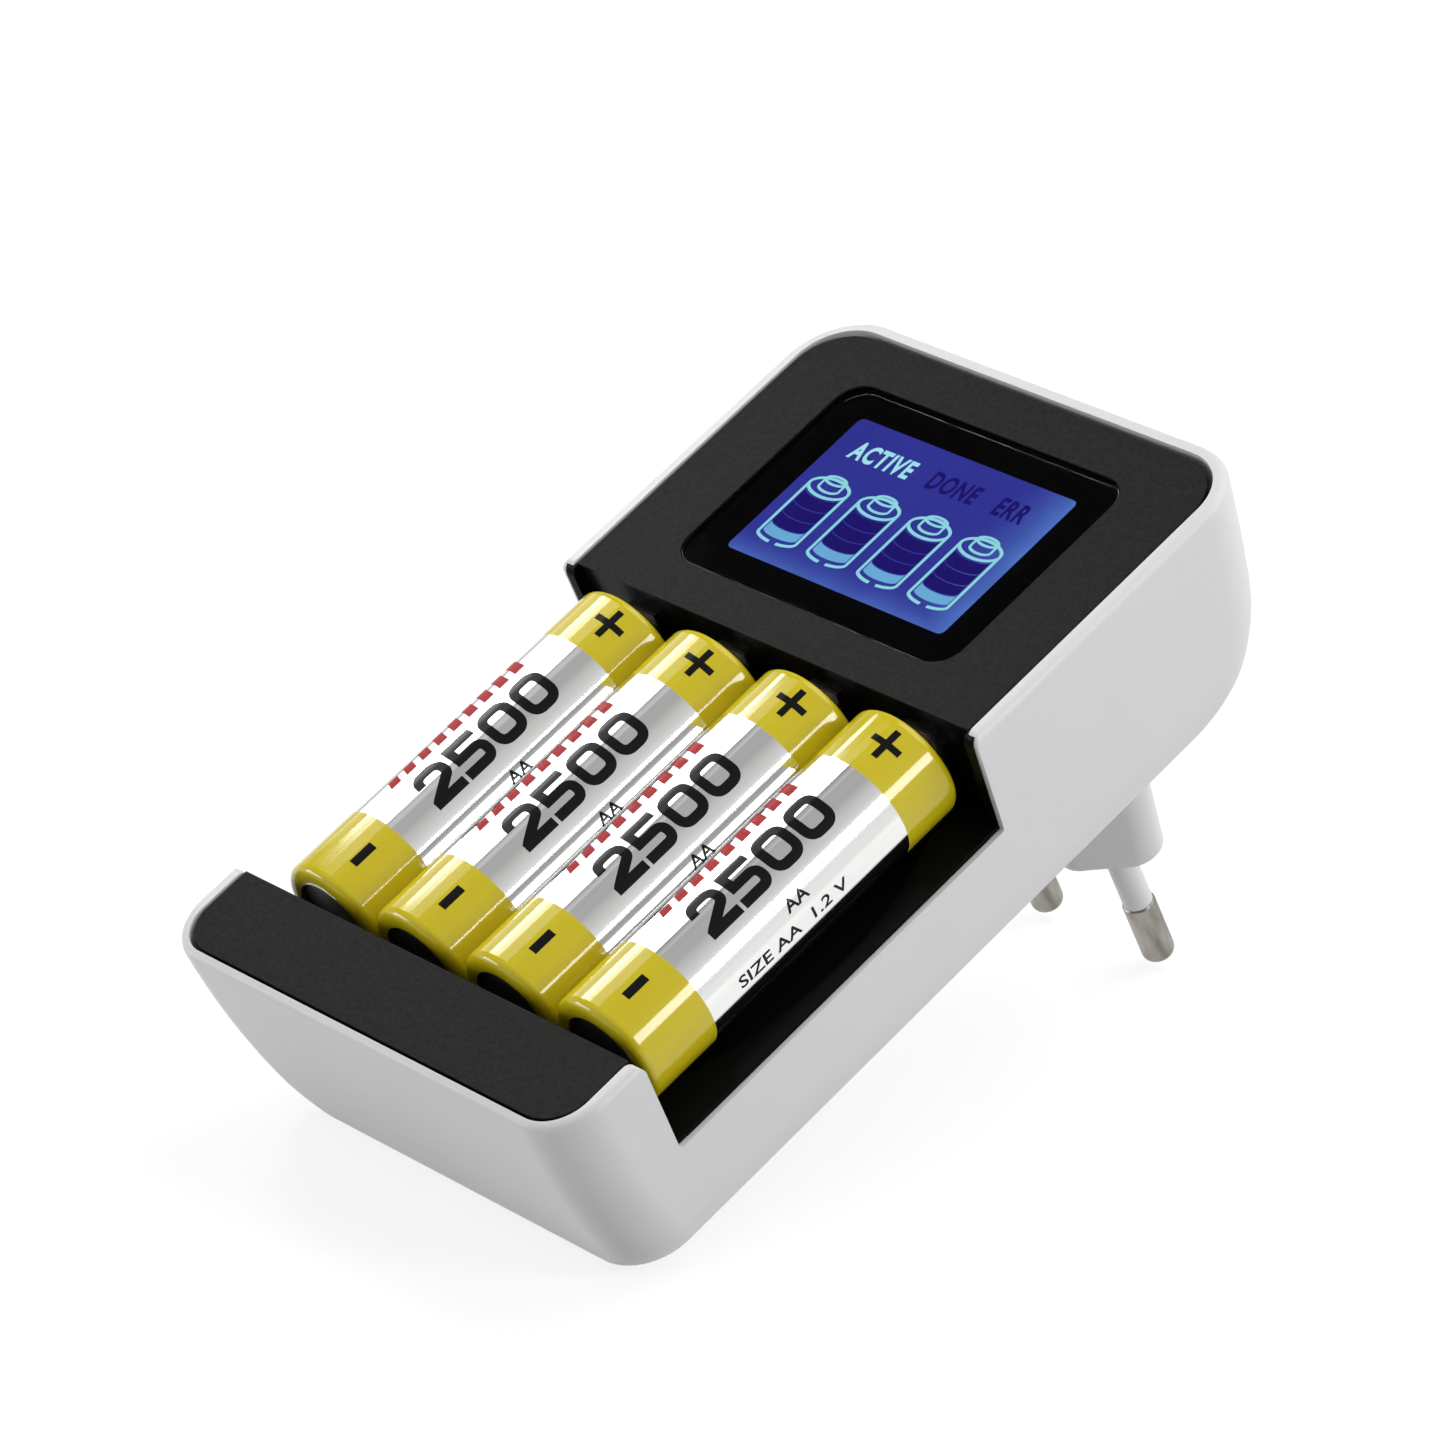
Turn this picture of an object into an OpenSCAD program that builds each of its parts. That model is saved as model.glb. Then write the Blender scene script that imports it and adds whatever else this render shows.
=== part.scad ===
// Plug-in charger for four AA cells, with a lit display.
// Drawn with the front face at z = 0, the display end towards +Y and the step
// between display and cell bays at y = 0. Finished pieces are then moved so
// that the origin is the middle of the plug's end face, between its pins.

/* [Cells] */
// Diameter of an AA cell
cell_d = 14.5; // [13.5:0.1:14.5]
// Distance of a cell's positive shoulder from the step
plus_gap = 2.55; // [2.4:0.05:2.8]
// Room in a bay that its cell leaves to the contacts at both ends
contact_room = 5; // [4.8:0.1:6]
// Diameter of the positive button
button_d = 5.5; // [4:0.1:6]
// Height of the positive button
button_h = 1.2; // [0.8:0.1:1.4]
// Rounding of the can's shoulders
shoulder_r = 1; // [0.4:0.1:1.6]
// Distance between neighbouring cell axes
cell_pitch = 15.2; // [15:0.1:15.6]
// Depth of the cell axes below the front face
cell_depth = 5.95; // [5:0.05:7]

/* [Housing] */
// Width of the housing at its rim
body_w = 68.6; // [68:0.1:74]
// Depth of the housing from front face to back
body_h = 29.2; // [28:0.1:34]
// Length of the display panel
panel_l = 44.5; // [43:0.1:50]
// Length of the lip at the front end
lip_l = 11.5; // [10:0.1:16]
// Wall of the housing at the sides and the display end
wall = 1.7; // [1.4:0.1:2.2]
// Wall of the housing at the lip end
front_wall = 1; // [0.8:0.1:2]
// Thickness of the housing's floor
floor_t = 2; // [1.6:0.1:2.4]
// Corner radius at the display end
rear_corner_r = 8.5; // [6:0.1:11]
// Corner radius at the lip end
front_corner_r = 6.7; // [5:0.1:9]
// Rounding along the rim's outer edge
rim_r = 1; // [0.4:0.1:1.4]
// Lean of the side walls, in degrees
side_draft = 3.5; // [1:0.1:4]
// Lean of the display end wall, in degrees
rear_draft = 4.6; // [2:0.1:6]
// Bow radius of the display end wall
rear_bow_r = 165; // [120:1:400]
// Bow radius of the lip end wall
front_bow_r = 100; // [80:1:400]
// Fillet between side wall and floor
side_fillet = 7.4; // [4:0.1:9]
// Fillet between lip end wall and floor
front_fillet = 2; // [1:0.1:5]
// Fillet between display end wall and floor
rear_fillet = 14; // [8:0.1:15]

/* [Side notches] */
// Depth of the side notches below the front face
notch_d = 13.6; // [13:0.1:14.2]
// Distance of the notch's upper end from the step
notch_rear = 1; // [0.5:0.1:3]
// How far the notch's rear edge leans forward at its foot
notch_lean = 0.6; // [0:0.1:2]
// Fillet at the notch's lower corners
notch_fillet = 2; // [1:0.1:3]
// Rounding at the notch's upper corners
notch_round = 1.5; // [0.4:0.1:2]

/* [Tray] */
// Length of the cell bays
bay_l = 54; // [53.6:0.1:57]
// Thickness of the display panel and of the lip
panel_t = 2.4; // [2.2:0.1:3]
// How far the panel lies below the rim
panel_inset = 0.15; // [0:0.05:0.3]
// Radial play of a cell in its cradle
cradle_play = 0.25; // [0.1:0.05:0.3]
// Thickness of the tray under the cells
tray_floor_t = 2; // [1.6:0.1:2.6]
// Depth of the ridges between the cells
ridge_d = 9; // [8:0.1:11]
// Thickness of the side ledges where they lap over the housing's edge
lap_t = 0.6; // [0.4:0.1:1]
// Width of the housing's edge that shows beside the ledges
lap_edge = 0.7; // [0.5:0.1:1.2]
// Length of the finger recess in a side ledge
recess_l = 43.4; // [30:0.2:46]
// Width of the finger recess at its middle
recess_w = 5.6; // [3:0.1:5.8]
// Depth of the finger recess below its ledge
recess_d = 1.3; // [0.6:0.1:1.6]
// Thickness of the tray under the finger recesses
recess_floor_t = 1.1; // [0.8:0.1:1.6]
// Thickness of the step wall behind the cells
step_t = 2; // [1.6:0.1:3]
// Thickness of the wall under the lip
lip_wall_t = 3.2; // [2.8:0.1:4]

/* [Display] */
// Width of the window
window_w = 45.2; // [44:0.1:48]
// Length of the window
window_l = 31.7; // [31:0.1:34]
// Distance of the window from the step
window_y = 5.8; // [5:0.1:7]
// Corner radius of the window
window_r = 3.5; // [2:0.1:5]
// How far the window's lens lies below the panel
lens_inset = 0.15; // [0:0.05:0.3]
// Thickness of the lens
lens_t = 1.2; // [0.8:0.1:1.4]
// Width of the ledge that carries the lens
lens_ledge = 2.4; // [1.6:0.1:2.6]
// Thickness of each glass of the display cell
glass_t = 1.1; // [0.7:0.1:1.2]
// Width of the display cell's contact ledge
glass_ledge = 1.8; // [1.6:0.1:2.6]
// Thickness of the light guide behind the display
guide_t = 3; // [2:0.1:3.4]

/* [Boards] */
// Thickness of the circuit boards
board_t = 1.6; // [1:0.1:1.6]
// Width of the main board
board_w = 54; // [53:0.5:55]
// Gap between the housing's floor and the main board
board_gap = 2.4; // [2.2:0.1:3]
// Corner radius of both boards
board_corner_r = 1; // [0.5:0.1:2]
// Room left between the tallest components and the display board
board_room = 2.4; // [1.6:0.1:4]
// Width of the display board
display_board_w = 43; // [42:0.1:43.4]
// Length of the display board
display_board_l = 37.5; // [37:0.1:38.5]

/* [Plug] */
// Distance between the two pins
pin_spacing = 18.6; // [17.5:0.1:19.2]
// Diameter of the bare pin ends
pin_d = 4; // [3.8:0.1:4.2]
// Diameter of a pin inside its sleeve
pin_core_d = 3; // [2.4:0.1:3.2]
// Length of the bare pin ends
pin_l = 9; // [7:0.1:10]
// Rounding of the pin tips
pin_tip_r = 1.2; // [0.6:0.1:1.8]
// Diameter of the insulating sleeves
sleeve_d = 3.6; // [3.4:0.1:3.6]
// Free length of the insulating sleeves
sleeve_l = 10; // [8:0.1:11]
// How deep a sleeve sits in the plug block
sleeve_seat = 2; // [1:0.1:4]
// Distance of the pins from the step
pin_y = 25.5; // [24:0.1:26]
// How far the plug block stands out of the back
plug_h = 21.3; // [16:0.1:26]
// Width of the plug block at its end
plug_end_w = 34.5; // [33:0.1:36]
// Thickness of the plug block at its end
plug_end_t = 13.7; // [12:0.1:14]
// Width of the plug block at the housing
plug_base_w = 42; // [38:0.1:43]
// Thickness of the plug block at the housing
plug_base_t = 18; // [15:0.1:18]
// Width of the flat on the plug block's long sides
plug_flat_w = 18; // [16:0.1:20]
// Rounding of the plug block's upright edges
plug_corner_r = 3; // [2:0.1:4]
// Rounding of the plug block's end
plug_round = 2; // [1:0.1:3]
// Thickness of the flange inside the housing
flange_t = 1.8; // [1.2:0.1:2]
// Width of the flange round the plug opening
flange_w = 2; // [1:0.1:2.4]

/* [Contacts] */
// Thickness of the contact strips
strip_t = 0.4; // [0.3:0.05:0.5]
// Width of the contact strips
strip_w = 6; // [4:0.1:7]
// Radius of the rolled bend that a negative strip turns on
bend_r = 0.8; // [0.6:0.05:0.9]
// How far the negative strip's dimple stands out
dimple_h = 0.6; // [0.3:0.05:0.7]
// Depth of the pocket behind a negative strip
spring_pocket = 1.4; // [1.2:0.1:1.6]

/* [Screws] */
// Diameter of the housing screws
screw_d = 2.6; // [2:0.1:3]
// Diameter of the housing screws' heads
screw_head_d = 4.8; // [4:0.1:5.4]
// Height of the housing screws' heads
screw_head_h = 1.6; // [1:0.1:2]
// How deep the housing screws go into their posts
screw_grip = 7; // [5:0.5:9]
// Diameter of the posts on the tray
post_d = 6; // [5:0.1:6.4]
// Diameter of the board screws
board_screw_d = 2; // [1.6:0.1:2.4]
// Diameter of the board screws' heads
board_screw_head_d = 3.6; // [3:0.1:4]

/* [Fits] */
// Gap round a piece that is set into another
fit = 0.1; // [0.05:0.05:0.2]
// Gap between pieces that move past each other
clear = 0.3; // [0.25:0.05:0.4]

/* [Hidden] */
slots = 4;
eps = 0.01;
over = 5;
curve_n = 40;
hull_n = 32;

// Plan of the housing
half_w = body_w / 2;
front_y = -bay_l - lip_l - front_wall;
rear_y = panel_l + wall;

// Cells
cell_r = cell_d / 2;
plus_y = -plus_gap;
cell_l = bay_l - contact_room;
minus_y = plus_y - cell_l;
cradle_r = cell_r + cradle_play;
outer_cell_x = (slots - 1) / 2 * cell_pitch;
ledge_d = notch_d - lap_t;
recess_shift = 1;
tray_d = max(cell_depth + cradle_r + tray_floor_t, ledge_d + recess_d + recess_floor_t);

// Display stack, as depths below the front face
lens_top = panel_inset + lens_inset;
lens_bottom = lens_top + lens_t;
glass_w = window_w - 2 * lens_ledge - 2 * fit;
glass_l = window_l - 2 * lens_ledge - 2 * fit;
glass_y = window_y + lens_ledge + fit;
glass_bottom = lens_bottom + 2 * glass_t;
glass_r = 0.4;
rubber_inset = 2;
led_x = 7;
led_w = 3;
led_l = 1.6;
led_h = 1.8;
guide_bottom = glass_bottom + guide_t;
display_board_y = window_y + window_l / 2 - display_board_l / 2;
display_board_bottom = guide_bottom + board_t;

// Main board, as depths below the front face
floor_d = body_h - floor_t;
board_bottom = floor_d - board_gap;
board_top = board_bottom - board_t;
board_front = -bay_l;
board_rear = pin_y + plug_base_t / 2;
board_post_d = 5;
board_post_inset = 4;
board_post_front = 6;
board_post_rear = 4;
board_post_y = [-bay_l + board_post_front, board_rear - board_post_rear];
board_posts = [for (x = [-1, 1], y = board_post_y) [x * (board_w / 2 - board_post_inset), y]];
board_screw_grip = 2;

// Posts that carry the tray, and the bosses on the floor that they stand on
boss_h = 3;
boss_web = 1.4;
boss_wall = 1.2;
boss_d = post_d + 2 * boss_wall;
post_seat = floor_d - boss_h;
head_seat = post_seat + boss_web;
post_inset = 2;
post_x = board_w / 2 - post_inset;
front_post_gap = 0.8;
rear_post_y = 14;
post_y = [-bay_l - lip_wall_t - front_post_gap, rear_post_y];
tray_posts = [for (x = [-1, 1], y = post_y) [x * post_x, y]];

// Posts that carry the display board
display_post_d = 3.8;
display_post_x = 16;
display_post_inset = 2;
display_post_floor = 0.6;
display_screw_grip = 3;
display_post_y = [
    display_board_y + display_post_inset,
    display_board_y + display_board_l - display_post_inset
];
display_posts = [for (x = [-1, 1], y = display_post_y) [x * display_post_x, y]];
screw_top_h = 1.2;

// Flat link between the two boards
link_w = 2.5;
link_l = 14;
link_inset = 4;
link_shift = 1;

// Components on the main board
tall_h = board_top - display_board_bottom - board_room;
core_w = 16;
core_l = 14;
core_y = 12;
limb_w = 3.4;
winding_inset = 0.5;
bulk_x = -15.5;
bulk_y = 22;
bulk_d = 9;
bulk_drop = 1;
output_x = 15;
output_y = 9;
output_d = 8;
output_drop = 3.5;
neck_w = 0.5;
neck_y = 1;
neck_h = 1;
bridge_x = 2;
bridge_y = 24.5;
bridge_w = 8.5;
bridge_l = 6.5;
bridge_h = 3.2;
fuse_d = 3.2;
fuse_l = 9;
fuse_inset = 3;
chip_h = 3.4;
switch_x = -14.5;
switch_y = 9.5;
switch_w = 6.4;
switch_l = 9.6;
opto_x = 9.5;
opto_y = -4;
opto_w = 6.4;
opto_l = 4.6;
controller_w = 10;
controller_l = 7;
controller_h = 1.6;
controller_y = -bay_l + 4 * controller_l;
transistor_w = 6.5;
transistor_l = 6;
transistor_h = 2.3;
transistor_y = -bay_l + 2.7 * transistor_l;

// Contacts
bend_y = minus_y - clear - bend_r;
bend_lift = 0.2;
bend_d = cell_depth + cell_r - bend_lift;
spring_rise = 2.35;
spring_top = cell_depth - spring_rise;
dimple_r = 1.6;
leg_step = 1;
leg_w = strip_w - 2 * leg_step;
contact_d = 0.8 * button_d;
plate_w = contact_d + 2 * fit;
plate_rise = plate_w / 2;
plate_drop = 4.05;
plate_top = cell_depth - plate_rise;
plate_foot = cell_depth + plate_drop;

// Plug
plug_d = body_h + plug_h;
sleeve_end = plug_d + sleeve_l;

white = "#dcdcdf";
black = "#1c1c1d";
nickel = "#b9b6ae";
steel = "#8f9296";
board_green = "#2f6b46";

// Shared shapes

// Moves a piece from the drawing position to the plug's frame
module placed() {
    translate([0, -pin_y, plug_d]) children();
}

// Axis position of a cell, counted from the left
function slot_x(i) = (i - (slots + 1) / 2) * cell_pitch;

// How far a fillet of radius r at the floor draws the wall in at depth d
function fillet_in(d, r) =
    let (u = max(0, d - (body_h - r)))
    r - sqrt(max(0, r * r - u * u));

// How far the rounded rim draws the wall in at depth d
function rim_in(d) =
    d >= rim_r ? 0 : rim_r - sqrt(max(0, rim_r * rim_r - (rim_r - d) * (rim_r - d)));

// How far each wall lies inside the rim's outline at depth d
function side_in(d) = d * tan(side_draft) + fillet_in(d, side_fillet);
function front_in(d) = d * d / (2 * front_bow_r) + fillet_in(d, front_fillet);
function rear_in(d) =
    d * tan(rear_draft) + d * d / (2 * rear_bow_r) + fillet_in(d, rear_fillet);

// Depths at which the housing's outline is set out, closer together near the floor
rim_steps = [for (k = [0:2]) rim_r * (1 - cos(45 * k))];
wall_steps = [for (k = [1:2]) rim_r + (body_h - rear_fillet - rim_r) * k / 3];
floor_steps = [for (k = [0:6]) body_h - rear_fillet * (1 - sin(15 * k))];
form_steps = concat(rim_steps, wall_steps, floor_steps);
space_steps = [for (k = [1:2:5]) body_h - rear_fillet * (1 - sin(15 * k))];

// A ring for a hull: a cone whose point lies inside the form
module ring(r, up) {
    translate([0, 0, up ? 0 : -r])
        cylinder(h = r, r1 = up ? r : 0, r2 = up ? 0 : r, $fn = hull_n);
}

// The housing's outline at one depth, as four corner rings for a hull
module outline_corners(d, inset, front_inset, round_in) {
    side = half_w - side_in(d) - inset - round_in;
    rear = rear_y - rear_in(d) - inset - round_in;
    front = front_y + front_in(d) + front_inset + round_in;
    rear_r = rear_corner_r - inset;
    front_r = front_corner_r - inset;
    for (s = [-1, 1]) {
        translate([s * (side - rear_r), rear - rear_r, 0]) ring(rear_r, d > body_h / 2);
        translate([s * (side - front_r), front + front_r, 0]) ring(front_r, d > body_h / 2);
    }
}

// Outer form of the housing
module housing_form() {
    hull()
        for (d = form_steps)
            translate([0, 0, -d]) outline_corners(d, 0, 0, rim_in(d));
}

// Space inside the housing, open at the front and drawn in by a gap
module housing_space(gap, depth) {
    hull() {
        translate([0, 0, over]) outline_corners(0, wall + gap, front_wall + gap, 0);
        for (d = space_steps)
            if (d < depth - 1)
                translate([0, 0, -d]) outline_corners(d, wall + gap, front_wall + gap, 0);
        translate([0, 0, -depth]) outline_corners(depth, wall + gap, front_wall + gap, 0);
    }
}

// A rectangle from its corner, with round corners
module round_rect(w, l, r) {
    translate([r, 0]) square([w - 2 * r, l]);
    translate([0, r]) square([w, l - 2 * r]);
    for (x = [r, w - r], y = [r, l - r])
        translate([x, y]) circle(r = r, $fn = curve_n);
}

// A plate of round-cornered outline between two depths, centred on x = 0
module plate(w, l, y, r, top, bottom) {
    translate([-w / 2, y, -bottom])
        linear_extrude(bottom - top) round_rect(w, l, r);
}

// A box between two depths
module block(x, y, w, l, top, bottom) {
    translate([x - w / 2, y - l / 2, -bottom]) cube([w, l, bottom - top]);
}

// An upright cylinder between two depths
module post(x, y, d, top, bottom) {
    translate([x, y, -bottom]) cylinder(d = d, h = bottom - top, $fn = curve_n);
}

// A section in the plane of Y and Z, drawn w wide about x
module across(x, w) {
    translate([x - w / 2, 0, 0])
        rotate([90, 0, 90]) linear_extrude(w) children();
}

// Places its child at the six corners of the plug's flattened hexagon
module plug_corners(w, t, inset) {
    r = plug_corner_r;
    for (s = [-1, 1]) {
        translate([s * (w / 2 - inset - r), pin_y, 0]) children();
        for (side = [-1, 1])
            translate([s * (plug_flat_w / 2 - inset), pin_y + side * (t / 2 - inset - r), 0]) children();
    }
}

// Straight plug section between two depths, grown by a margin
module plug_prism(grow, top, bottom) {
    translate([0, 0, -bottom])
        hull()
            plug_corners(plug_base_w, plug_base_t, -grow)
                cylinder(r = plug_corner_r, h = bottom - top, $fn = hull_n);
}

// Outline of a side notch in the plane of Y and Z, drawn in by a gap at its ends
module notch_outline(gap) {
    front = -bay_l + clear + gap;
    rear = -notch_rear - gap;
    foot = rear - notch_lean;
    slope = notch_lean / notch_d;
    r = notch_fillet;
    corner_y = foot + slope * r - r * sqrt(1 + slope * slope);
    polygon([
        [front, over], [front, r - notch_d], [front + r, -notch_d],
        [corner_y, -notch_d], [foot + slope * r, r - notch_d], [rear, 0], [rear, over]
    ]);
    for (y = [front + r, corner_y])
        translate([y, r - notch_d]) circle(r = r, $fn = curve_n);
    notch_shoulder(front, -1);
    notch_shoulder(rear, 1);
}

// Rounding of one of the notch's upper corners
module notch_shoulder(y, side) {
    difference() {
        translate([min(y, y + side * notch_round), -notch_round])
            square([notch_round, notch_round + over]);
        translate([y + side * notch_round, -notch_round])
            circle(r = notch_round, $fn = curve_n);
    }
}

// Housing and tray

module rear_housing() {
    color(white)
    difference() {
        union() {
            difference() {
                housing_form();
                housing_space(0, floor_d);
            }
            for (p = board_posts)
                post(p[0], p[1], board_post_d, board_bottom, floor_d + floor_t / 4);
            for (p = tray_posts)
                post(p[0], p[1], boss_d, post_seat, floor_d + floor_t / 4);
        }
        across(0, body_w + over) notch_outline(0);
        plug_prism(fit, floor_d - 1, body_h + over);
        for (p = tray_posts) {
            post(p[0], p[1], screw_d + 4 * fit, post_seat - 1, body_h + over);
            post(p[0], p[1], screw_head_d + 2 * clear, head_seat, body_h + over);
        }
        for (p = board_posts)
            post(p[0], p[1], board_screw_d + 2 * fit, board_bottom - 1, floor_d + floor_t / 2);
    }
}

// Panel, lip, walls, floor and ridges of the tray before its hollows are cut
module tray_blank() {
    full = body_w;
    front_end = lip_l + over;
    block(0, (panel_l + over) / 2, full, panel_l + over, panel_inset, panel_t);
    block(0, -bay_l - front_end / 2, full, front_end, panel_inset, panel_t);
    block(0, step_t / 2, full, step_t, panel_inset, tray_d);
    block(0, -bay_l - lip_wall_t / 2, full, lip_wall_t, panel_inset, tray_d);
    block(0, -bay_l / 2, full, bay_l, ledge_d, tray_d);
    block(0, -bay_l / 2, 2 * outer_cell_x, bay_l, ridge_d, tray_d);
    for (p = tray_posts)
        post(p[0], p[1], post_d, panel_t - eps, post_seat);
}

// Finger recess in the ledge of one side
module finger_recess(side) {
    edge_x = outer_cell_x + sqrt(cradle_r * cradle_r - pow(ledge_d - cell_depth, 2));
    arc_r = (recess_l * recess_l / 4 + recess_w * recess_w) / (2 * recess_w);
    mid_y = -bay_l / 2 + recess_shift;
    intersection() {
        post(side * (edge_x + recess_w - arc_r), mid_y, 2 * arc_r, ledge_d - 1, ledge_d + recess_d);
        block(side * (outer_cell_x + body_w / 2), mid_y, body_w, recess_l, 0, ledge_d + recess_d);
    }
}

// Edges of both ledges, which fill the foot of the notches over the housing's wall
module ledge_laps() {
    intersection() {
        across(0, 2 * (half_w - side_in(notch_d) - lap_edge)) notch_outline(fit);
        block(0, -bay_l / 2, body_w, bay_l, ledge_d, notch_d);
    }
}

// Pocket for a negative strip with the groove that its bend turns in
module spring_space(i) {
    width = strip_w + 2 * clear;
    pocket_foot = bend_d;
    block(slot_x(i), -bay_l - spring_pocket / 2 + eps, width, spring_pocket + 2 * eps,
        panel_t + eps, pocket_foot);
    block(slot_x(i), bend_y, width, 2 * (bend_r + fit), panel_t, pocket_foot);
    translate([slot_x(i) - width / 2, bend_y, -bend_d])
        rotate([0, 90, 0]) cylinder(r = bend_r + fit, h = width, $fn = curve_n);
    block(slot_x(i), bend_y, leg_w + 2 * fit, 2 * strip_t + 2 * fit, bend_d, tray_d + 1);
}

module battery_tray() {
    color(black)
    difference() {
        union() {
            intersection() {
                tray_blank();
                housing_space(fit, post_seat);
            }
            ledge_laps();
            for (p = display_posts)
                post(p[0], p[1], display_post_d, panel_t - eps, guide_bottom);
        }
        for (i = [1:slots])
            translate([slot_x(i), 0, -cell_depth])
                rotate([90, 0, 0]) cylinder(r = cradle_r, h = bay_l, $fn = curve_n);
        for (side = [-1, 1]) finger_recess(side);
        for (i = [1:slots]) {
            spring_space(i);
            block(slot_x(i), step_t / 2, plate_w + 2 * fit, step_t + 2 * eps,
                plate_foot - 2 * strip_t - fit, plate_foot + fit);
        }
        plate(window_w, window_l, window_y, window_r, panel_inset - 1, lens_bottom);
        plate(glass_w + 2 * fit, glass_l + 2 * fit, glass_y - fit, glass_r, 0, panel_t + 1);
        for (p = tray_posts)
            post(p[0], p[1], screw_d + 2 * eps, post_seat - screw_grip - 1, post_seat + 1);
        for (p = display_posts)
            post(p[0], p[1], board_screw_d + 2 * eps, panel_t + display_post_floor, guide_bottom + 1);
    }
}

// Plug

module plug_block() {
    color(white)
    difference() {
        union() {
            plug_prism(0, floor_d - flange_t, body_h);
            intersection() {
                plug_prism(flange_w, floor_d - flange_t, floor_d);
                housing_space(fit, floor_d);
            }
            hull() {
                translate([0, 0, -body_h])
                    plug_corners(plug_base_w, plug_base_t, 0) ring(plug_corner_r, false);
                for (a = [0, 30, 60, 90])
                    translate([0, 0, -plug_d + plug_round * (1 - sin(a))])
                        plug_corners(plug_end_w, plug_end_t, plug_round * (1 - cos(a)))
                            ring(plug_corner_r, true);
            }
        }
        for (s = [-1, 1]) {
            post(s * pin_spacing / 2, pin_y, pin_core_d + 2 * eps, 0, plug_d + 1);
            post(s * pin_spacing / 2, pin_y, sleeve_d + 2 * eps, plug_d - sleeve_seat, plug_d + 1);
        }
        for (p = board_posts)
            post(p[0], p[1], board_post_d + 2 * clear, 0, floor_d);
    }
}

// Pin with a slimmer core inside the block, up to the main board
module pin(s) {
    r = pin_d / 2;
    core = pin_core_d / 2;
    tip = pin_tip_r;
    color(nickel)
    translate([s * pin_spacing / 2, pin_y, -sleeve_end - pin_l])
        rotate_extrude($fn = curve_n) {
            translate([0, tip]) square([r, pin_l - tip]);
            square([r - tip, pin_l]);
            intersection() {
                translate([r - tip, tip]) circle(r = tip, $fn = curve_n);
                square([r, pin_l]);
            }
            square([core, sleeve_end + pin_l - board_bottom]);
        }
}

module sleeve(s) {
    color(white)
    difference() {
        post(s * pin_spacing / 2, pin_y, sleeve_d, plug_d - sleeve_seat, sleeve_end);
        post(s * pin_spacing / 2, pin_y, pin_core_d + 2 * eps, 0, sleeve_end + 1);
    }
}

// Display

module window_lens() {
    color("#101114", 0.6)
    plate(window_w - 2 * fit, window_l - 2 * fit, window_y + fit, window_r - fit, lens_top, lens_bottom);
}

// Two glasses, the lower one longer by its contact ledge
module lcd_cell() {
    color("#3a3ea0") {
        plate(glass_w, glass_l - glass_ledge, glass_y + glass_ledge, glass_r, lens_bottom, lens_bottom + glass_t);
        plate(glass_w, glass_l, glass_y, glass_r, lens_bottom + glass_t, glass_bottom);
    }
}

module light_guide() {
    color("#e9eef2")
    plate(glass_w, glass_l - glass_ledge, glass_y + glass_ledge, glass_r, glass_bottom, guide_bottom);
}

module backlight_leds() {
    color("#f2efe0")
    for (s = [-1, 1])
        block(s * led_x, glass_y + glass_l + led_l / 2, led_w, led_l, guide_bottom - led_h, guide_bottom);
}

module contact_rubber() {
    color("#c9b9b0")
    block(0, glass_y + glass_ledge / 2, glass_w - 2 * rubber_inset, glass_ledge - 2 * clear,
        glass_bottom, guide_bottom);
}

module display_board() {
    color(board_green)
    difference() {
        plate(display_board_w, display_board_l, display_board_y, board_corner_r,
            guide_bottom, display_board_bottom);
        for (p = display_posts)
            post(p[0], p[1], board_screw_d + 2 * fit, 0, display_board_bottom + 1);
    }
}

// A board screw under or over its board, with the head towards +1 or -1
module board_screw(p, face, grip, up) {
    head_h = screw_top_h;
    post(p[0], p[1], board_screw_head_d, up > 0 ? face - head_h : face, up > 0 ? face : face + head_h);
    post(p[0], p[1], board_screw_d, up > 0 ? face - eps : face - grip, up > 0 ? face + grip : face + eps);
}

module display_screws() {
    color(steel)
    for (p = display_posts) board_screw(p, display_board_bottom, board_t + display_screw_grip, -1);
}

module board_link() {
    color("#26282b")
    block(display_board_w / 2 - link_inset, pin_y + link_shift, link_w, link_l,
        display_board_bottom, board_top);
}

// Main board and what it carries

module main_board() {
    color(board_green)
    difference() {
        translate([-board_w / 2, board_front, -board_bottom])
            linear_extrude(board_t) round_rect(board_w, board_rear - board_front, board_corner_r);
        for (p = tray_posts)
            post(p[0], p[1], boss_d + 2 * clear, 0, body_h);
        for (p = board_posts)
            post(p[0], p[1], board_screw_d + 2 * fit, 0, body_h);
    }
}

module board_screws() {
    color(steel)
    for (p = board_posts) board_screw(p, board_top, board_t + board_screw_grip, 1);
}

// Core with its winding round the middle limb
module transformer() {
    top = board_top - tall_h + limb_w;
    bottom = board_top - limb_w;
    color("#3b3a39")
    difference() {
        block(0, core_y, core_w, core_l, board_top - tall_h, board_top);
        block(0, core_y, core_w - 2 * limb_w, core_l + 1, top, bottom);
    }
    color("#d0b23c")
        block(0, core_y, core_w - 2 * limb_w, core_l - 2 * winding_inset, top, bottom);
}

// A standing can capacitor with its crimped neck
module can_capacitor(x, y, d, h) {
    crimped = neck_y + neck_h;
    translate([x, y, -board_top])
        rotate_extrude($fn = curve_n) {
            square([d / 2 - neck_w, h]);
            square([d / 2, neck_y]);
            translate([0, crimped]) square([d / 2, h - crimped]);
        }
}

module bulk_capacitor() {
    color("#24324d") can_capacitor(bulk_x, bulk_y, bulk_d, tall_h - bulk_drop);
}

module output_capacitor() {
    color("#2d2d33") can_capacitor(output_x, output_y, output_d, tall_h - output_drop);
}

module bridge_rectifier() {
    color("#222224") block(bridge_x, bridge_y, bridge_w, bridge_l, board_top - bridge_h, board_top);
}

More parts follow.
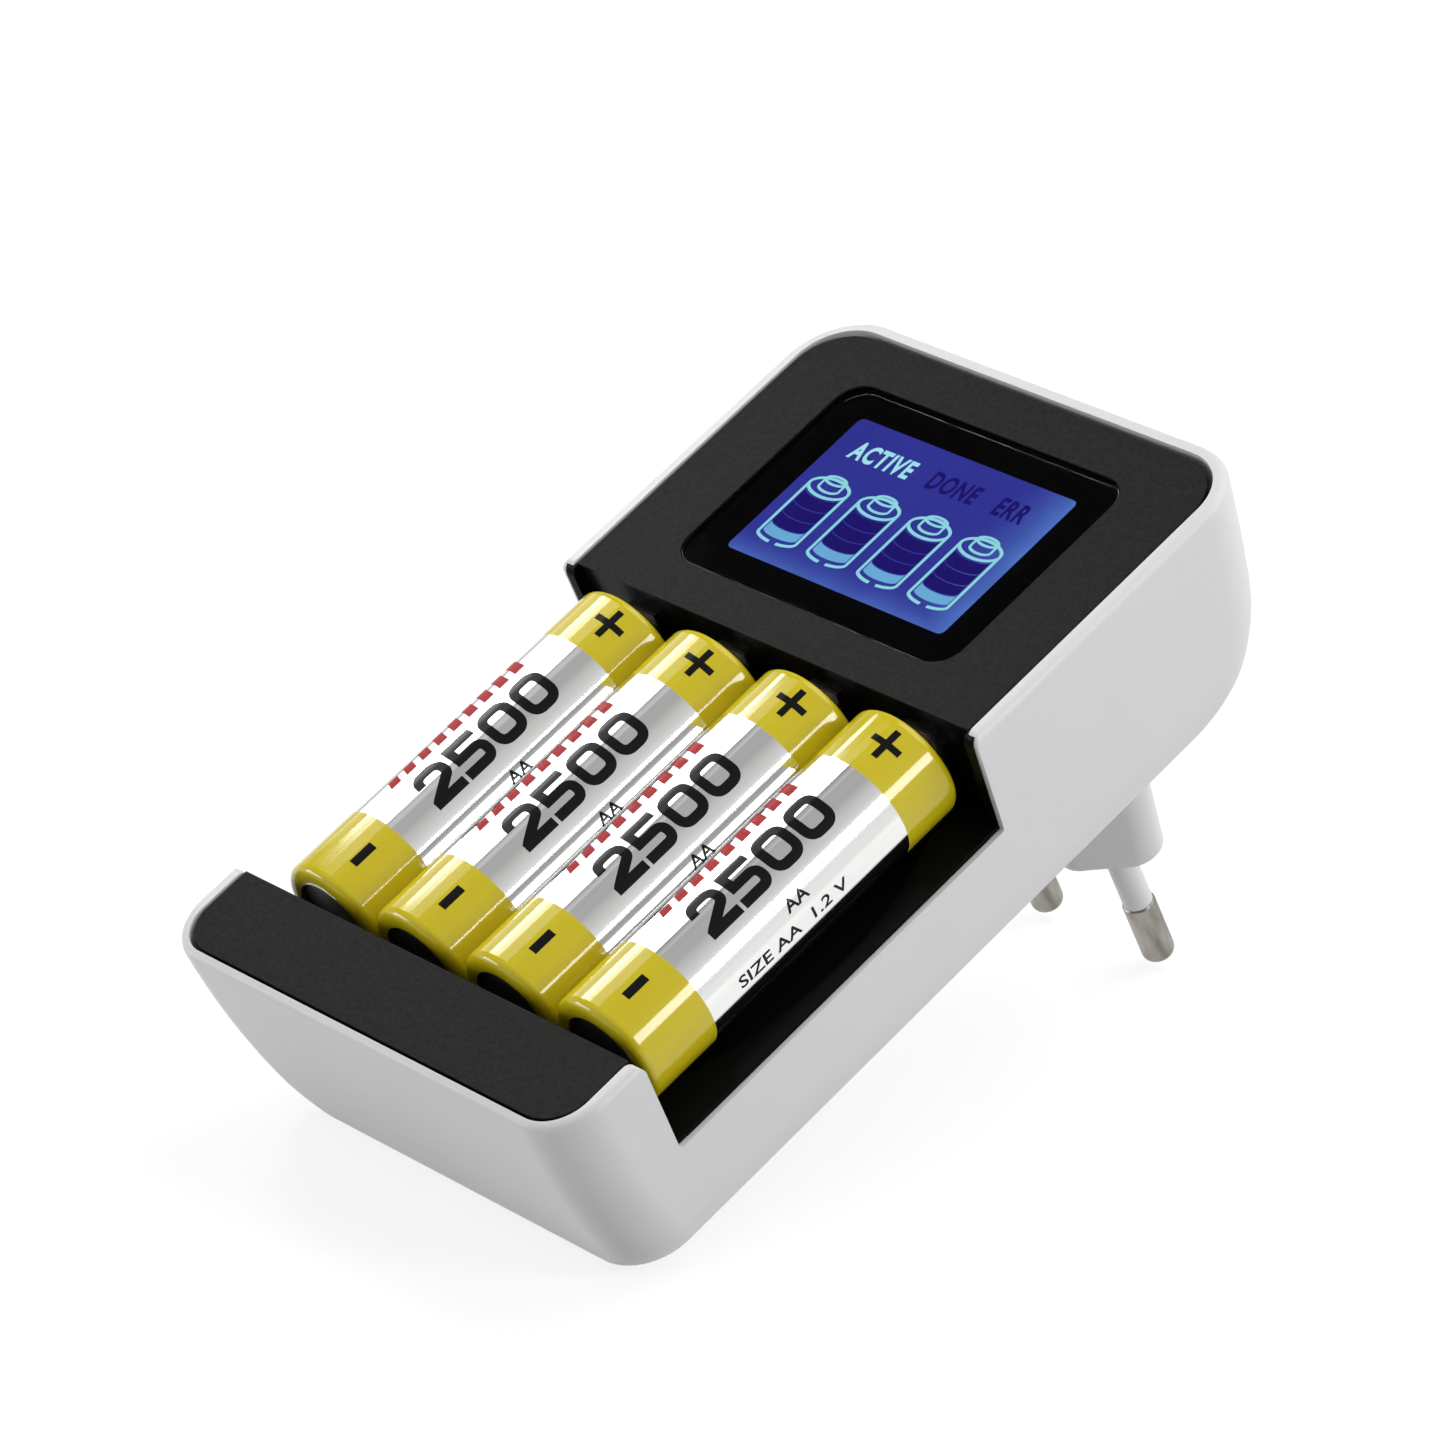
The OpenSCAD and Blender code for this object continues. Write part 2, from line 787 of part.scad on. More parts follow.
module fuse_resistor() {
    color("#b48f5a")
    translate([-fuse_l / 2, board_rear - fuse_inset, -board_top + fuse_d / 2])
        rotate([0, 90, 0]) cylinder(d = fuse_d, h = fuse_l, $fn = curve_n);
}

module switching_chip() {
    color("#222224") block(switch_x, switch_y, switch_w, switch_l, board_top - chip_h, board_top);
}

module optocoupler() {
    color("#e6e4dc") block(opto_x, opto_y, opto_w, opto_l, board_top - chip_h, board_top);
}

module controller_chip() {
    color("#222224")
    block(0, controller_y, controller_w, controller_l, board_top - controller_h, board_top);
}

module charge_transistors() {
    color("#222224")
    for (i = [1:slots])
        block(slot_x(i), transistor_y, transistor_w, transistor_l, board_top - transistor_h, board_top);
}

// Contacts

// Plate on the step wall, with its button, a bridge through the wall and a tail
module positive_contact(i) {
    button = -plus_y - button_h - clear / 3;
    tail_y = step_t + strip_t / 2;
    color(nickel) {
        block(slot_x(i), -strip_t / 2, plate_w, strip_t, plate_top, plate_foot);
        translate([slot_x(i), 0, -cell_depth])
            rotate([90, 0, 0]) cylinder(d = contact_d, h = button, $fn = curve_n);
        block(slot_x(i), step_t / 2, plate_w, step_t + 2 * strip_t, plate_foot - strip_t, plate_foot);
        block(slot_x(i), tail_y, plate_w, strip_t, plate_foot - strip_t, board_top);
    }
}

// Free leaf of a negative strip on its rolled bend, with a dimple for the cell
module negative_contact(i) {
    back = bend_y - strip_t / 2;
    face = back + strip_t + dimple_h;
    color(nickel)
    across(slot_x(i), strip_w) {
        translate([bend_y, -bend_d]) circle(r = bend_r, $fn = curve_n);
        translate([back, -bend_d]) square([strip_t, bend_d - spring_top]);
        intersection() {
            translate([face - dimple_r, -cell_depth]) circle(r = dimple_r, $fn = curve_n);
            translate([back, -cell_depth - dimple_r]) square(2 * dimple_r);
        }
    }
}

// Clamped leg of a negative strip, from under its bend down to the main board
module negative_terminal(i) {
    color(nickel)
    block(slot_x(i), bend_y, leg_w, 2 * strip_t, bend_d + bend_r + fit, board_top);
}

// A sealed cell, turned as one piece, with its button towards +Y
module cell(i) {
    rim_w = 1.4;
    rim_h = 0.5;
    color("#d9d6c2")
    translate([slot_x(i), minus_y, -cell_depth])
        rotate([-90, 0, 0]) rotate_extrude($fn = curve_n)
            difference() {
                union() {
                    translate([0, shoulder_r]) square([cell_r, cell_l - 2 * shoulder_r]);
                    square([cell_r - shoulder_r, cell_l]);
                    for (y = [shoulder_r, cell_l - shoulder_r])
                        intersection() {
                            translate([cell_r - shoulder_r, y]) circle(r = shoulder_r, $fn = curve_n);
                            square([cell_r, cell_l]);
                        }
                    square([button_d / 2, cell_l + button_h]);
                }
                translate([0, -1]) square([cell_r - shoulder_r - rim_w, 1 + rim_h]);
            }
}

module housing_screws() {
    color(steel)
    for (p = tray_posts) {
        post(p[0], p[1], screw_head_d, head_seat, head_seat + screw_head_h);
        post(p[0], p[1], screw_d, post_seat - screw_grip, head_seat + eps);
    }
}

placed() rear_housing();
placed() battery_tray();
placed() plug_block();
placed() pin(-1);  // pin_left
placed() pin(1);  // pin_right
placed() sleeve(-1);  // sleeve_left
placed() sleeve(1);  // sleeve_right
placed() window_lens();
placed() lcd_cell();
placed() light_guide();
placed() backlight_leds();
placed() contact_rubber();
placed() display_board();
placed() display_screws();
placed() board_link();
placed() main_board();
placed() board_screws();
placed() transformer();
placed() bulk_capacitor();
placed() output_capacitor();
placed() bridge_rectifier();
placed() fuse_resistor();
placed() switching_chip();
placed() optocoupler();
placed() controller_chip();
placed() charge_transistors();
for (i = [1:slots]) {
    placed() positive_contact(i);
    placed() negative_contact(i);
    placed() negative_terminal(i);
    placed() cell(i);
}
placed() housing_screws();
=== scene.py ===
"""Looks of a plug-in charger with four AA cells: white tub, black tray, lit display and two-pin plug."""

import math

import bmesh
import bpy
from mathutils import Matrix, Vector
from mathutils.geometry import delaunay_2d_cdt


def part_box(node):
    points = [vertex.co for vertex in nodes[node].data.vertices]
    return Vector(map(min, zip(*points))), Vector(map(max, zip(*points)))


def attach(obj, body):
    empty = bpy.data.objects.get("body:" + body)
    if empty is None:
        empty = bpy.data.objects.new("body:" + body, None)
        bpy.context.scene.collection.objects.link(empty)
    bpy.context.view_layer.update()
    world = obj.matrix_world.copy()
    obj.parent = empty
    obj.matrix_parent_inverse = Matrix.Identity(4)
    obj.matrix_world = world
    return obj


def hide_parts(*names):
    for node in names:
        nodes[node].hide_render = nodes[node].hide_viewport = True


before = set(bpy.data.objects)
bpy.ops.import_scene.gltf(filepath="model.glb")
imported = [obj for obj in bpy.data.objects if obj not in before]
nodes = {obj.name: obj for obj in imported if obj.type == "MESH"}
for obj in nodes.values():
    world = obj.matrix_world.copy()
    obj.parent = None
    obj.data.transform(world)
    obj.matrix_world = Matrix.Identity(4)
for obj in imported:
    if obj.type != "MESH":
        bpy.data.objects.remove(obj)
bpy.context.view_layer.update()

# Named lengths are in millimetres and named angles in degrees; what the frame gives is in metres.
# Places count from the step wall and the charger's middle, and depths down from its front face.
MM = 0.001
FACE_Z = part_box("rear_housing")[1].z
STEP_Y = -25.5 * MM
BODY = "charger"
CELL_COUNT = 4

# Housing, as in the solids
BODY_W = 68.6
BODY_H = 29.2
FRONT_Y = -66.5
REAR_Y = 46.2
WALL = 1.7
FRONT_WALL = 1.0
FLOOR_T = 2.0
REAR_CORNER_R = 8.5
FRONT_CORNER_R = 6.7
RIM_R = 1.0
SIDE_DRAFT = 3.5
REAR_DRAFT = 4.6
REAR_BOW_R = 165.0
FRONT_BOW_R = 100.0
SIDE_FILLET = 7.4
FRONT_FILLET = 2.0
REAR_FILLET = 14.0

# Side notches, with sharper lower corners than in the solids
NOTCH_D = 13.6
NOTCH_FRONT = -53.7
NOTCH_REAR = -1.0
NOTCH_LEAN = 0.6
NOTCH_FILLET = 0.4
NOTCH_ROUND = 1.5

# The tray's edge that laps over the wall in the notches, and the cheeks at the ends of its step wall
LAP_T = 0.6
LAP_EDGE = 0.67
LAP_W = 0.9
LAP_GAP = 0.1
LAP_PROUD = 0.03
LAP_FLANGE_T = 0.14
LAP_FLANGE_GAP = 0.02
LAP_FLANGE_DEPTHS = (0.3, 0.45, 0.7, 1.0, 1.5)
CHEEK_EDGE = 1.5
CHEEK_W = 0.58
CHEEK_TOP = 0.3
CHEEK_BACK = 0.1
CHEEK_SET = 0.02

# Plug
PIN_Y = 25.5
PLUG_H = 21.3
PLUG_END_W = 34.5
PLUG_END_T = 13.7
PLUG_BASE_W = 42.0
PLUG_BASE_T = 18.0
PLUG_FLAT_W = 18.0
PLUG_CORNER_R = 3.0
PLUG_ROUND = 2.0
FIT = 0.1

# Screw holes in the back
SCREW_X = 25.0
SCREW_YS = (-58.0, 14.0)
SCREW_HOLE_D = 5.4
SCREW_WEB = 1.4
BOSS_H = 3.0

# Rounded edges, and how a solid's triangles are joined before that
HOUSING_EDGE = 0.35
TRAY_EDGE = 0.3
LAP_ROUND = 0.12
PLUG_EDGE = 0.2
PLUG_EDGE_ANGLE = 60
EDGE_ANGLE = 35
EDGE_SEGMENTS = 3
WELD_GAP = 0.001
FLAT_ANGLE = 0.5

# Fineness of round forms, the rings that they are lofted through, and how far cutters reach out
CORNER_STEPS = 20
FILLET_STEPS = 10
NOTCH_STEPS = 12
PLUG_STEPS = 8
HOLE_STEPS = 60
RING_PITCH = 1.0
RING_COUNT = 13
RING_GAP = 0.02
FLOOR_CLEAR = 0.2
CUT_OVER = 5.0
CUT_UNDER = 1.0

# Camera, fitted to the photograph's edges; placed from the step on the front face
PHOTO_PIXELS = 1436
FOCAL_PIXELS = 7250.0
SENSOR = 36.0
CAMERA_PLACE = Vector((549.53, -308.99, 492.53)) * MM
CAMERA_BACK = Vector((0.6884, -0.3751, 0.6208))
CAMERA_UP = Vector((-0.2927, 0.6394, 0.7109))
CAMERA_CLIP = (50.0, 20000.0)

# Lamps, with levels where 1 is the white of paper. Key and fill: place, aim, size, level
KEY = ((180, 900, -640), (0, -10, 0), 900, 2.0)
FILL = ((-650, -600, -250), (0, -40, 15), 500, 5.8)
# Lamps that the cells mirror: turn to the right from overhead, distance, ends, width, level
BESIDE = (
    ("panel_over", -8.5, 380, (77, 165), 70, 0.18),
    ("panel_left_high", -27.0, 380, (77, 158), 146, 2.4),
    ("strip_left_high", -45.0, 370, (77, 149), 92, 9.0),
    ("strip_left_low", -57.0, 370, (77, 160), 68, 12.0),
    ("panel_left_low", -76.0, 380, (77, 158), 180, 1.3),
    ("strip_right", 71.0, 380, (70, 165), 100, 13.0),
)

# World: each part of its level goes from one value to another between two cosines to a direction
WORLD_HEIGHT = (0.1, 0.7, 0.66, 0.46)
WORLD_RIGHT_AIM = (0.95, 0.30, 0.10)
WORLD_RIGHT = (0.5, 0.9, 0.0, 0.28)
WORLD_FRONT_AIM = (0.70, -0.70, 0.10)
WORLD_FRONT_SHADE = (0.4, 0.9, 1.0, 0.1)
WORLD_MIRROR_SHADE = (0.79, 0.93, 1.0, 0.03)

# The table that the charger leans on, touching its front foot and the pin tips
TABLE_UP = Vector((0.0, 0.437, 0.900)).normalized()
FLOOR_HALF = 3000.0
FLOOR_DROP = 0.2
FLOOR_GLOW = 0.8
FLOOR_SHADE = 0.28
FLOOR_BOUNCE = 0.52


def place(x, y, depth):
    """A point in metres: x from the middle, y from the step wall, and down from the front face."""
    return Vector((x * MM, STEP_Y + y * MM, FACE_Z - depth * MM))


# Mesh helpers


def add_object(name, data):
    made = bpy.data.objects.new(name, data)
    bpy.context.scene.collection.objects.link(made)
    return made


def mesh_object(name, vertices, faces):
    mesh = bpy.data.meshes.new(name)
    mesh.from_pydata([tuple(v) for v in vertices], [], faces)
    mesh.update()
    return add_object(name, mesh)


def built_object(name, bm):
    """A piece from a finished bmesh, which is freed."""
    mesh = bpy.data.meshes.new(name)
    bm.to_mesh(mesh)
    bm.free()
    return add_object(name, mesh)


def band_faces(count, low, high):
    """Faces between two rings of vertices, given where each ring starts."""
    pairs = [(i, (i + 1) % count) for i in range(count)]
    return [(low + i, low + j, high + j, high + i) for i, j in pairs]


def loft(name, rings):
    """A closed solid through rings of equal length, capped at both ends."""
    count = len(rings[0])
    last = (len(rings) - 1) * count
    faces = []
    for start in range(0, last, count):
        faces += band_faces(count, start, start + count)
    faces.append(tuple(reversed(range(count))))
    faces.append(tuple(range(last, last + count)))
    piece = mesh_object(name, [v for ring in rings for v in ring], faces)
    face_outward(piece)
    return piece


def face_outward(piece):
    bm = bmesh.new()
    bm.from_mesh(piece.data)
    bmesh.ops.recalc_face_normals(bm, faces=bm.faces)
    bm.to_mesh(piece.data)
    bm.free()


def cut(piece, cutters):
    """Subtracts the cutters for good and removes them."""
    for cutter in cutters:
        modifier = piece.modifiers.new("cut", "BOOLEAN")
        modifier.operation = "DIFFERENCE"
        modifier.solver = "EXACT"
        modifier.object = cutter
    bpy.context.view_layer.update()
    depsgraph = bpy.context.evaluated_depsgraph_get()
    mesh = bpy.data.meshes.new_from_object(piece.evaluated_get(depsgraph))
    piece.modifiers.clear()
    piece.data = mesh
    for cutter in cutters:
        bpy.data.objects.remove(cutter)


def shade_smooth(piece):
    """Smooth shading that keeps large faces flat."""
    normals = piece.modifiers.new("normals", "WEIGHTED_NORMAL")
    normals.keep_sharp = False
    piece.data.polygons.foreach_set("use_smooth", [True] * len(piece.data.polygons))


def soften(piece, width, angle=EDGE_ANGLE):
    """Small rounded edges, shaded smoothly."""
    bevel = piece.modifiers.new("edges", "BEVEL")
    bevel.width = width * MM
    bevel.segments = EDGE_SEGMENTS
    bevel.limit_method = "ANGLE"
    bevel.angle_limit = math.radians(angle)
    bevel.miter_outer = "MITER_ARC"
    shade_smooth(piece)


def soften_node(name, width):
    """Rounded edges on a CAD node, whose triangles are first joined into whole faces."""
    piece = nodes[name]
    weld = piece.modifiers.new("weld", "WELD")
    weld.merge_threshold = WELD_GAP * MM
    flats = piece.modifiers.new("flats", "DECIMATE")
    flats.decimate_type = "DISSOLVE"
    flats.angle_limit = math.radians(FLAT_ANGLE)
    soften(piece, width)


def finish_piece(piece, material, slot, *replaced):
    """Gives a piece its material, unless it has its own, its body and the nodes that it stands for."""
    if material is not None:
        piece.data.materials.clear()
        piece.data.materials.append(material)
    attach(piece, BODY)
    if replaced:
        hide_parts(*replaced)


def set_nodes(material, *names):
    for name in names:
        nodes[name].data.materials.clear()
        nodes[name].data.materials.append(material)


def arc(cx, cy, radius, start, end, steps):
    """Points of an arc, with angles in degrees."""
    angles = [math.radians(start + (end - start) * k / steps) for k in range(steps + 1)]
    return [(cx + radius * math.cos(a), cy + radius * math.sin(a)) for a in angles]


def round_corners(low_x, high_x, low_y, high_y, low_r, high_r, steps):
    """A rectangle with round corners, counter-clockwise; its low and high ends have a radius each."""
    return (
        arc(high_x - high_r, high_y - high_r, high_r, 0, 90, steps)
        + arc(low_x + high_r, high_y - high_r, high_r, 90, 180, steps)
        + arc(low_x + low_r, low_y + low_r, low_r, 180, 270, steps)
        + arc(high_x - low_r, low_y + low_r, low_r, 270, 360, steps)
    )


def ring_at(points, depth):
    return [place(x, y, depth) for x, y in points]


# Material helpers


NOISE_SPAN = (0.3, 0.7)


def new_material(name, colour, roughness, **sockets):
    """A Principled material with plain values on its own sockets."""
    material = bpy.data.materials.new(name)
    material.use_nodes = True
    shader = shader_of(material)
    shader.inputs["Base Color"].default_value = (*colour, 1.0)
    shader.inputs["Roughness"].default_value = roughness
    for key, value in sockets.items():
        shader.inputs[key.title().replace("_", " ").replace("Ior", "IOR")].default_value = value
    return material


def shader_of(material):
    return material.node_tree.nodes["Principled BSDF"]


def node(material, kind, **values):
    made = material.node_tree.nodes.new(kind)
    for key, value in values.items():
        setattr(made, key, value)
    return made


def link(material, source, target):
    material.node_tree.links.new(source, target)


def link_shader(material, source, socket):
    link(material, source, shader_of(material).inputs[socket])


def position(material):
    """The piece's own coordinates, in metres."""
    return node(material, "ShaderNodeTexCoord").outputs["Object"]


def noise(material, size, detail=2.0, stretch=(1, 1, 1)):
    """Noise with grains of about that size in millimetres, stretched along some axes."""
    mapping = node(material, "ShaderNodeMapping")
    mapping.inputs["Scale"].default_value = [1 / s for s in stretch]
    texture = node(material, "ShaderNodeTexNoise")
    texture.inputs["Scale"].default_value = 1 / (size * MM)
    texture.inputs["Detail"].default_value = detail
    link(material, position(material), mapping.inputs["Vector"])
    link(material, mapping.outputs["Vector"], texture.inputs["Vector"])
    return texture.outputs["Fac"]


def ranged(material, source, low_in, high_in, low=0.0, high=1.0):
    """Maps a value from one range to another, with its ends held."""
    made = node(material, "ShaderNodeMapRange")
    link(material, source, made.inputs["Value"])
    made.inputs["From Min"].default_value = low_in
    made.inputs["From Max"].default_value = high_in
    made.inputs["To Min"].default_value = low
    made.inputs["To Max"].default_value = high
    return made.outputs["Result"]


def math_node(material, operation, *values):
    made = node(material, "ShaderNodeMath", operation=operation)
    for socket, value in zip(made.inputs, values):
        if isinstance(value, (int, float)):
            socket.default_value = value
        else:
            link(material, value, socket)
    return made.outputs["Value"]


def axis_value(material, axis):
    split = node(material, "ShaderNodeSeparateXYZ")
    link(material, position(material), split.inputs["Vector"])
    return split.outputs[axis]


def mixed(material, factor, a, b):
    """One of two colours, or a blend, by a factor."""
    made = node(material, "ShaderNodeMix", data_type="RGBA")
    link(material, factor, made.inputs["Factor"])
    for key, value in (("A", a), ("B", b)):
        socket = [s for s in made.inputs if s.name == key and s.type == "RGBA"][0]
        if isinstance(value, tuple):
            socket.default_value = (*value, 1.0)
        else:
            link(material, value, socket)
    return [s for s in made.outputs if s.type == "RGBA"][0]


def darker(colour, share):
    return tuple(c * share for c in colour)


def add_bump(material, height, strength, distance):
    bump = node(material, "ShaderNodeBump")
    bump.inputs["Strength"].default_value = strength
    bump.inputs["Distance"].default_value = distance * MM
    link(material, height, bump.inputs["Height"])
    link_shader(material, bump.outputs["Normal"], "Normal")


def tint(material, factor, a, b):
    link_shader(material, mixed(material, factor, a, b), "Base Color")


def vary_roughness(material, factor, low, high):
    link_shader(material, ranged(material, factor, *NOISE_SPAN, low, high), "Roughness")


# Materials


GRAIN = 0.35
GRAIN_BUMP = 0.12
GRAIN_DEPTH = 0.01
CLOUD = 25.0
CLOUD_SHADE = 0.94
GLOSS_SPREAD = 0.15

# The tray's front faces start between these depths; pairs are what they add and what all of it has
FACE_DEPTHS = (0.45, 0.3)
FACE_ROUGHNESS = (0.36, 0.22)
FACE_SHEEN = (0.065, 0.03)
FACE_GRAIN = 0.28
FACE_BUMP = 0.7
FACE_BUMP_DEPTH = 0.03
SPECKLE = 0.5
SPECKLE_SPAN = (0.32, 0.68)

# Drawn metal
LINE = 0.12
LINE_STRETCH = 30
LINE_BUMP = 0.12
LINE_DEPTH = 0.01
STAIN = 1.8
STAIN_STRETCH = 4
STAIN_SPAN = (0.35, 0.65)
STAIN_SHADE = 0.86
METAL_ROUGHNESS = (0.25, 0.42)

# Tracks under the solder mask
TRACK_SCALE = 160.0
TRACK_LINE = 0.06
TRACK_BUMP = 0.3
TRACK_DEPTH = 0.03


def moulded(name, colour, roughness, **sockets):
    """Moulded plastic with a fine eroded grain and slightly uneven gloss."""
    material = new_material(name, colour, roughness, **sockets)
    fine = noise(material, GRAIN)
    tint(material, noise(material, CLOUD), darker(colour, CLOUD_SHADE), colour)
    vary_roughness(material, fine, roughness * (1 - GLOSS_SPREAD), roughness * (1 + GLOSS_SPREAD))
    add_bump(material, fine, GRAIN_BUMP, GRAIN_DEPTH)
    return material


def tray_material():
    """Charcoal with an eroded grain on the front faces, gloss black below them."""
    material = new_material("tray_black", (0.004, 0.004, 0.004), 0.15, specular_ior_level=0.06)
    face = ranged(material, axis_value(material, "Z"), *[FACE_Z - depth * MM for depth in FACE_DEPTHS])
    grain = noise(material, FACE_GRAIN, detail=3.0)
    speckle = ranged(material, noise(material, SPECKLE, detail=4.0), *SPECKLE_SPAN)
    charcoal = mixed(material, speckle, (0.0105, 0.0105, 0.010), (0.0185, 0.0185, 0.018))
    tint(material, face, (0.0042, 0.0042, 0.004), charcoal)
    link_shader(material, math_node(material, "MULTIPLY_ADD", face, *FACE_ROUGHNESS), "Roughness")
    link_shader(material, math_node(material, "MULTIPLY_ADD", face, *FACE_SHEEN), "Specular IOR Level")
    add_bump(material, math_node(material, "MULTIPLY", grain, face), FACE_BUMP, FACE_BUMP_DEPTH)
    return material


def nickel_material(name, colour, along, shade=STAIN_SHADE):
    """Plated metal with fine drawn lines along one axis, and faint stains."""

    def drawn(size, stretch):
        return noise(material, size, detail=3.0, stretch=[stretch if axis == along else 1 for axis in "XYZ"])

    material = new_material(name, colour, 0.32, metallic=1.0)
    lines = drawn(LINE, LINE_STRETCH)
    stain = ranged(material, drawn(STAIN, STAIN_STRETCH), *STAIN_SPAN)
    tint(material, stain, darker(colour, shade), colour)
    vary_roughness(material, lines, *METAL_ROUGHNESS)
    add_bump(material, lines, LINE_BUMP, LINE_DEPTH)
    return material


def board_material():
    """Solder mask with faint tracks under it."""
    material = new_material("solder_mask", (0.02, 0.16, 0.06), 0.35)
    tracks = node(material, "ShaderNodeTexBrick")
    tracks.inputs["Scale"].default_value = TRACK_SCALE
    tracks.inputs["Mortar Size"].default_value = TRACK_LINE
    link(material, position(material), tracks.inputs["Vector"])
    tint(material, tracks.outputs["Fac"], (0.015, 0.13, 0.05), (0.03, 0.22, 0.09))
    add_bump(material, tracks.outputs["Fac"], TRACK_BUMP, TRACK_DEPTH)
    return material


# Housing, the tray's lapped edge and the plug


def fillet_in(depth, radius):
    reach = max(0.0, depth - (BODY_H - radius))
    return radius - math.sqrt(max(0.0, radius * radius - reach * reach))


def rim_in(depth, radius=RIM_R):
    """How far a rounding at the top draws a wall in."""
    reach = max(0.0, radius - depth)
    return radius - math.sqrt(radius * radius - reach * reach)


def side_in(depth):
    return depth * math.tan(math.radians(SIDE_DRAFT)) + fillet_in(depth, SIDE_FILLET)


def front_in(depth):
    return depth * depth / (2 * FRONT_BOW_R) + fillet_in(depth, FRONT_FILLET)


def rear_in(depth):
    bow = depth * depth / (2 * REAR_BOW_R)
    return depth * math.tan(math.radians(REAR_DRAFT)) + bow + fillet_in(depth, REAR_FILLET)


def outline(depth, inset, front_inset, rounded):
    """The housing's round-cornered outline at a depth, counter-clockwise."""
    draw_in = rim_in(depth) if rounded else 0.0
    side = BODY_W / 2 - side_in(depth) - inset - draw_in
    rear = REAR_Y - rear_in(depth) - inset - draw_in
    front = FRONT_Y + front_in(depth) + front_inset + draw_in
    return round_corners(-side, side, front, rear, FRONT_CORNER_R - inset, REAR_CORNER_R - inset, CORNER_STEPS)


def form_depths():
    """Depths of the loft: closer together in the rim's rounding and in each fillet."""
    quarter = [math.radians(90 * k / FILLET_STEPS) for k in range(FILLET_STEPS + 1)]
    depths = {RIM_R * (1 - math.cos(a)) for a in quarter}
    for radius in (REAR_FILLET, SIDE_FILLET, FRONT_FILLET):
        depths |= {BODY_H - radius * (1 - math.sin(a)) for a in quarter}
    depths |= {RIM_R + RING_PITCH * k for k in range(1, RING_COUNT + 1)}
    kept = []
    for depth in sorted(depths):
        if not kept or depth - kept[-1] > RING_GAP:
            kept.append(depth)
    return kept


def notch_cutter():
    """Both side notches, as one bar across the housing."""
    slope = NOTCH_LEAN / NOTCH_D
    tilt = math.degrees(math.atan(slope))
    r = NOTCH_FILLET
    corner = NOTCH_REAR - NOTCH_LEAN + slope * r - r * math.sqrt(1 + slope * slope)
    rear, front = NOTCH_REAR + NOTCH_ROUND, NOTCH_FRONT - NOTCH_ROUND
    points = arc(NOTCH_FRONT + r, r - NOTCH_D, r, 180, 270, NOTCH_STEPS)
    points += arc(corner, r - NOTCH_D, r, 270, 360 - tilt, NOTCH_STEPS)
    points += arc(rear, -NOTCH_ROUND, NOTCH_ROUND, 180, 90, NOTCH_STEPS)
    points += [(rear, CUT_OVER), (front, CUT_OVER)]
    points += arc(front, -NOTCH_ROUND, NOTCH_ROUND, 90, 0, NOTCH_STEPS)
    half = BODY_W / 2 + CUT_OVER
    return loft("notch", [[place(x, y, -z) for y, z in points] for x in (-half, half)])


def hole_cutter(x, y, diameter, top, bottom):
    points = arc(x, y, diameter / 2, 0, 360 - 360 / HOLE_STEPS, HOLE_STEPS - 1)
    return loft("hole", [ring_at(points, bottom), ring_at(points, top)])


def plug_outline(width, thickness, inset):
    """The plug's flattened hexagon with round corners, counter-clockwise."""
    r = PLUG_CORNER_R
    tip = width / 2 - inset - r
    flat = PLUG_FLAT_W / 2 - inset
    side = thickness / 2 - inset - r
    corners = [(tip, 0), (flat, side), (-flat, side), (-tip, 0), (-flat, -side), (flat, -side)]
    headings = []
    for (ax, ay), (bx, by) in zip(corners, corners[1:] + corners[:1]):
        headings.append(math.degrees(math.atan2(by - ay, bx - ax)) - 90)
    points = []
    for k, (x, y) in enumerate(corners):
        start, end = headings[k - 1], headings[k]
        while start > end:
            start -= 360
        points += arc(x, PIN_Y + y, r, start, end, PLUG_STEPS)
    return points


def make_housing(material):
    housing = loft("rear_shell", [ring_at(outline(d, 0, 0, True), d) for d in reversed(form_depths())])
    floor_d = BODY_H - FLOOR_T
    out_d = BODY_H + CUT_OVER
    inner = [d for d in form_depths() if d < floor_d - FLOOR_CLEAR] + [floor_d]
    rings = [ring_at(outline(d, WALL, FRONT_WALL, False), d) for d in reversed(inner)]
    rings.append(ring_at(outline(0, WALL, FRONT_WALL, False), -CUT_OVER))
    opening = plug_outline(PLUG_BASE_W, PLUG_BASE_T, -FIT)
    cutters = [loft("inside", rings), notch_cutter()]
    cutters.append(loft("plug_opening", [ring_at(opening, out_d), ring_at(opening, floor_d - CUT_UNDER)]))
    head_seat = floor_d - BOSS_H + SCREW_WEB
    for x in (-SCREW_X, SCREW_X):
        for y in SCREW_YS:
            cutters.append(hole_cutter(x, y, SCREW_HOLE_D, head_seat, out_d))
    cut(housing, cutters)
    soften(housing, HOUSING_EDGE)
    finish_piece(housing, material, "white_plastic", "rear_housing")


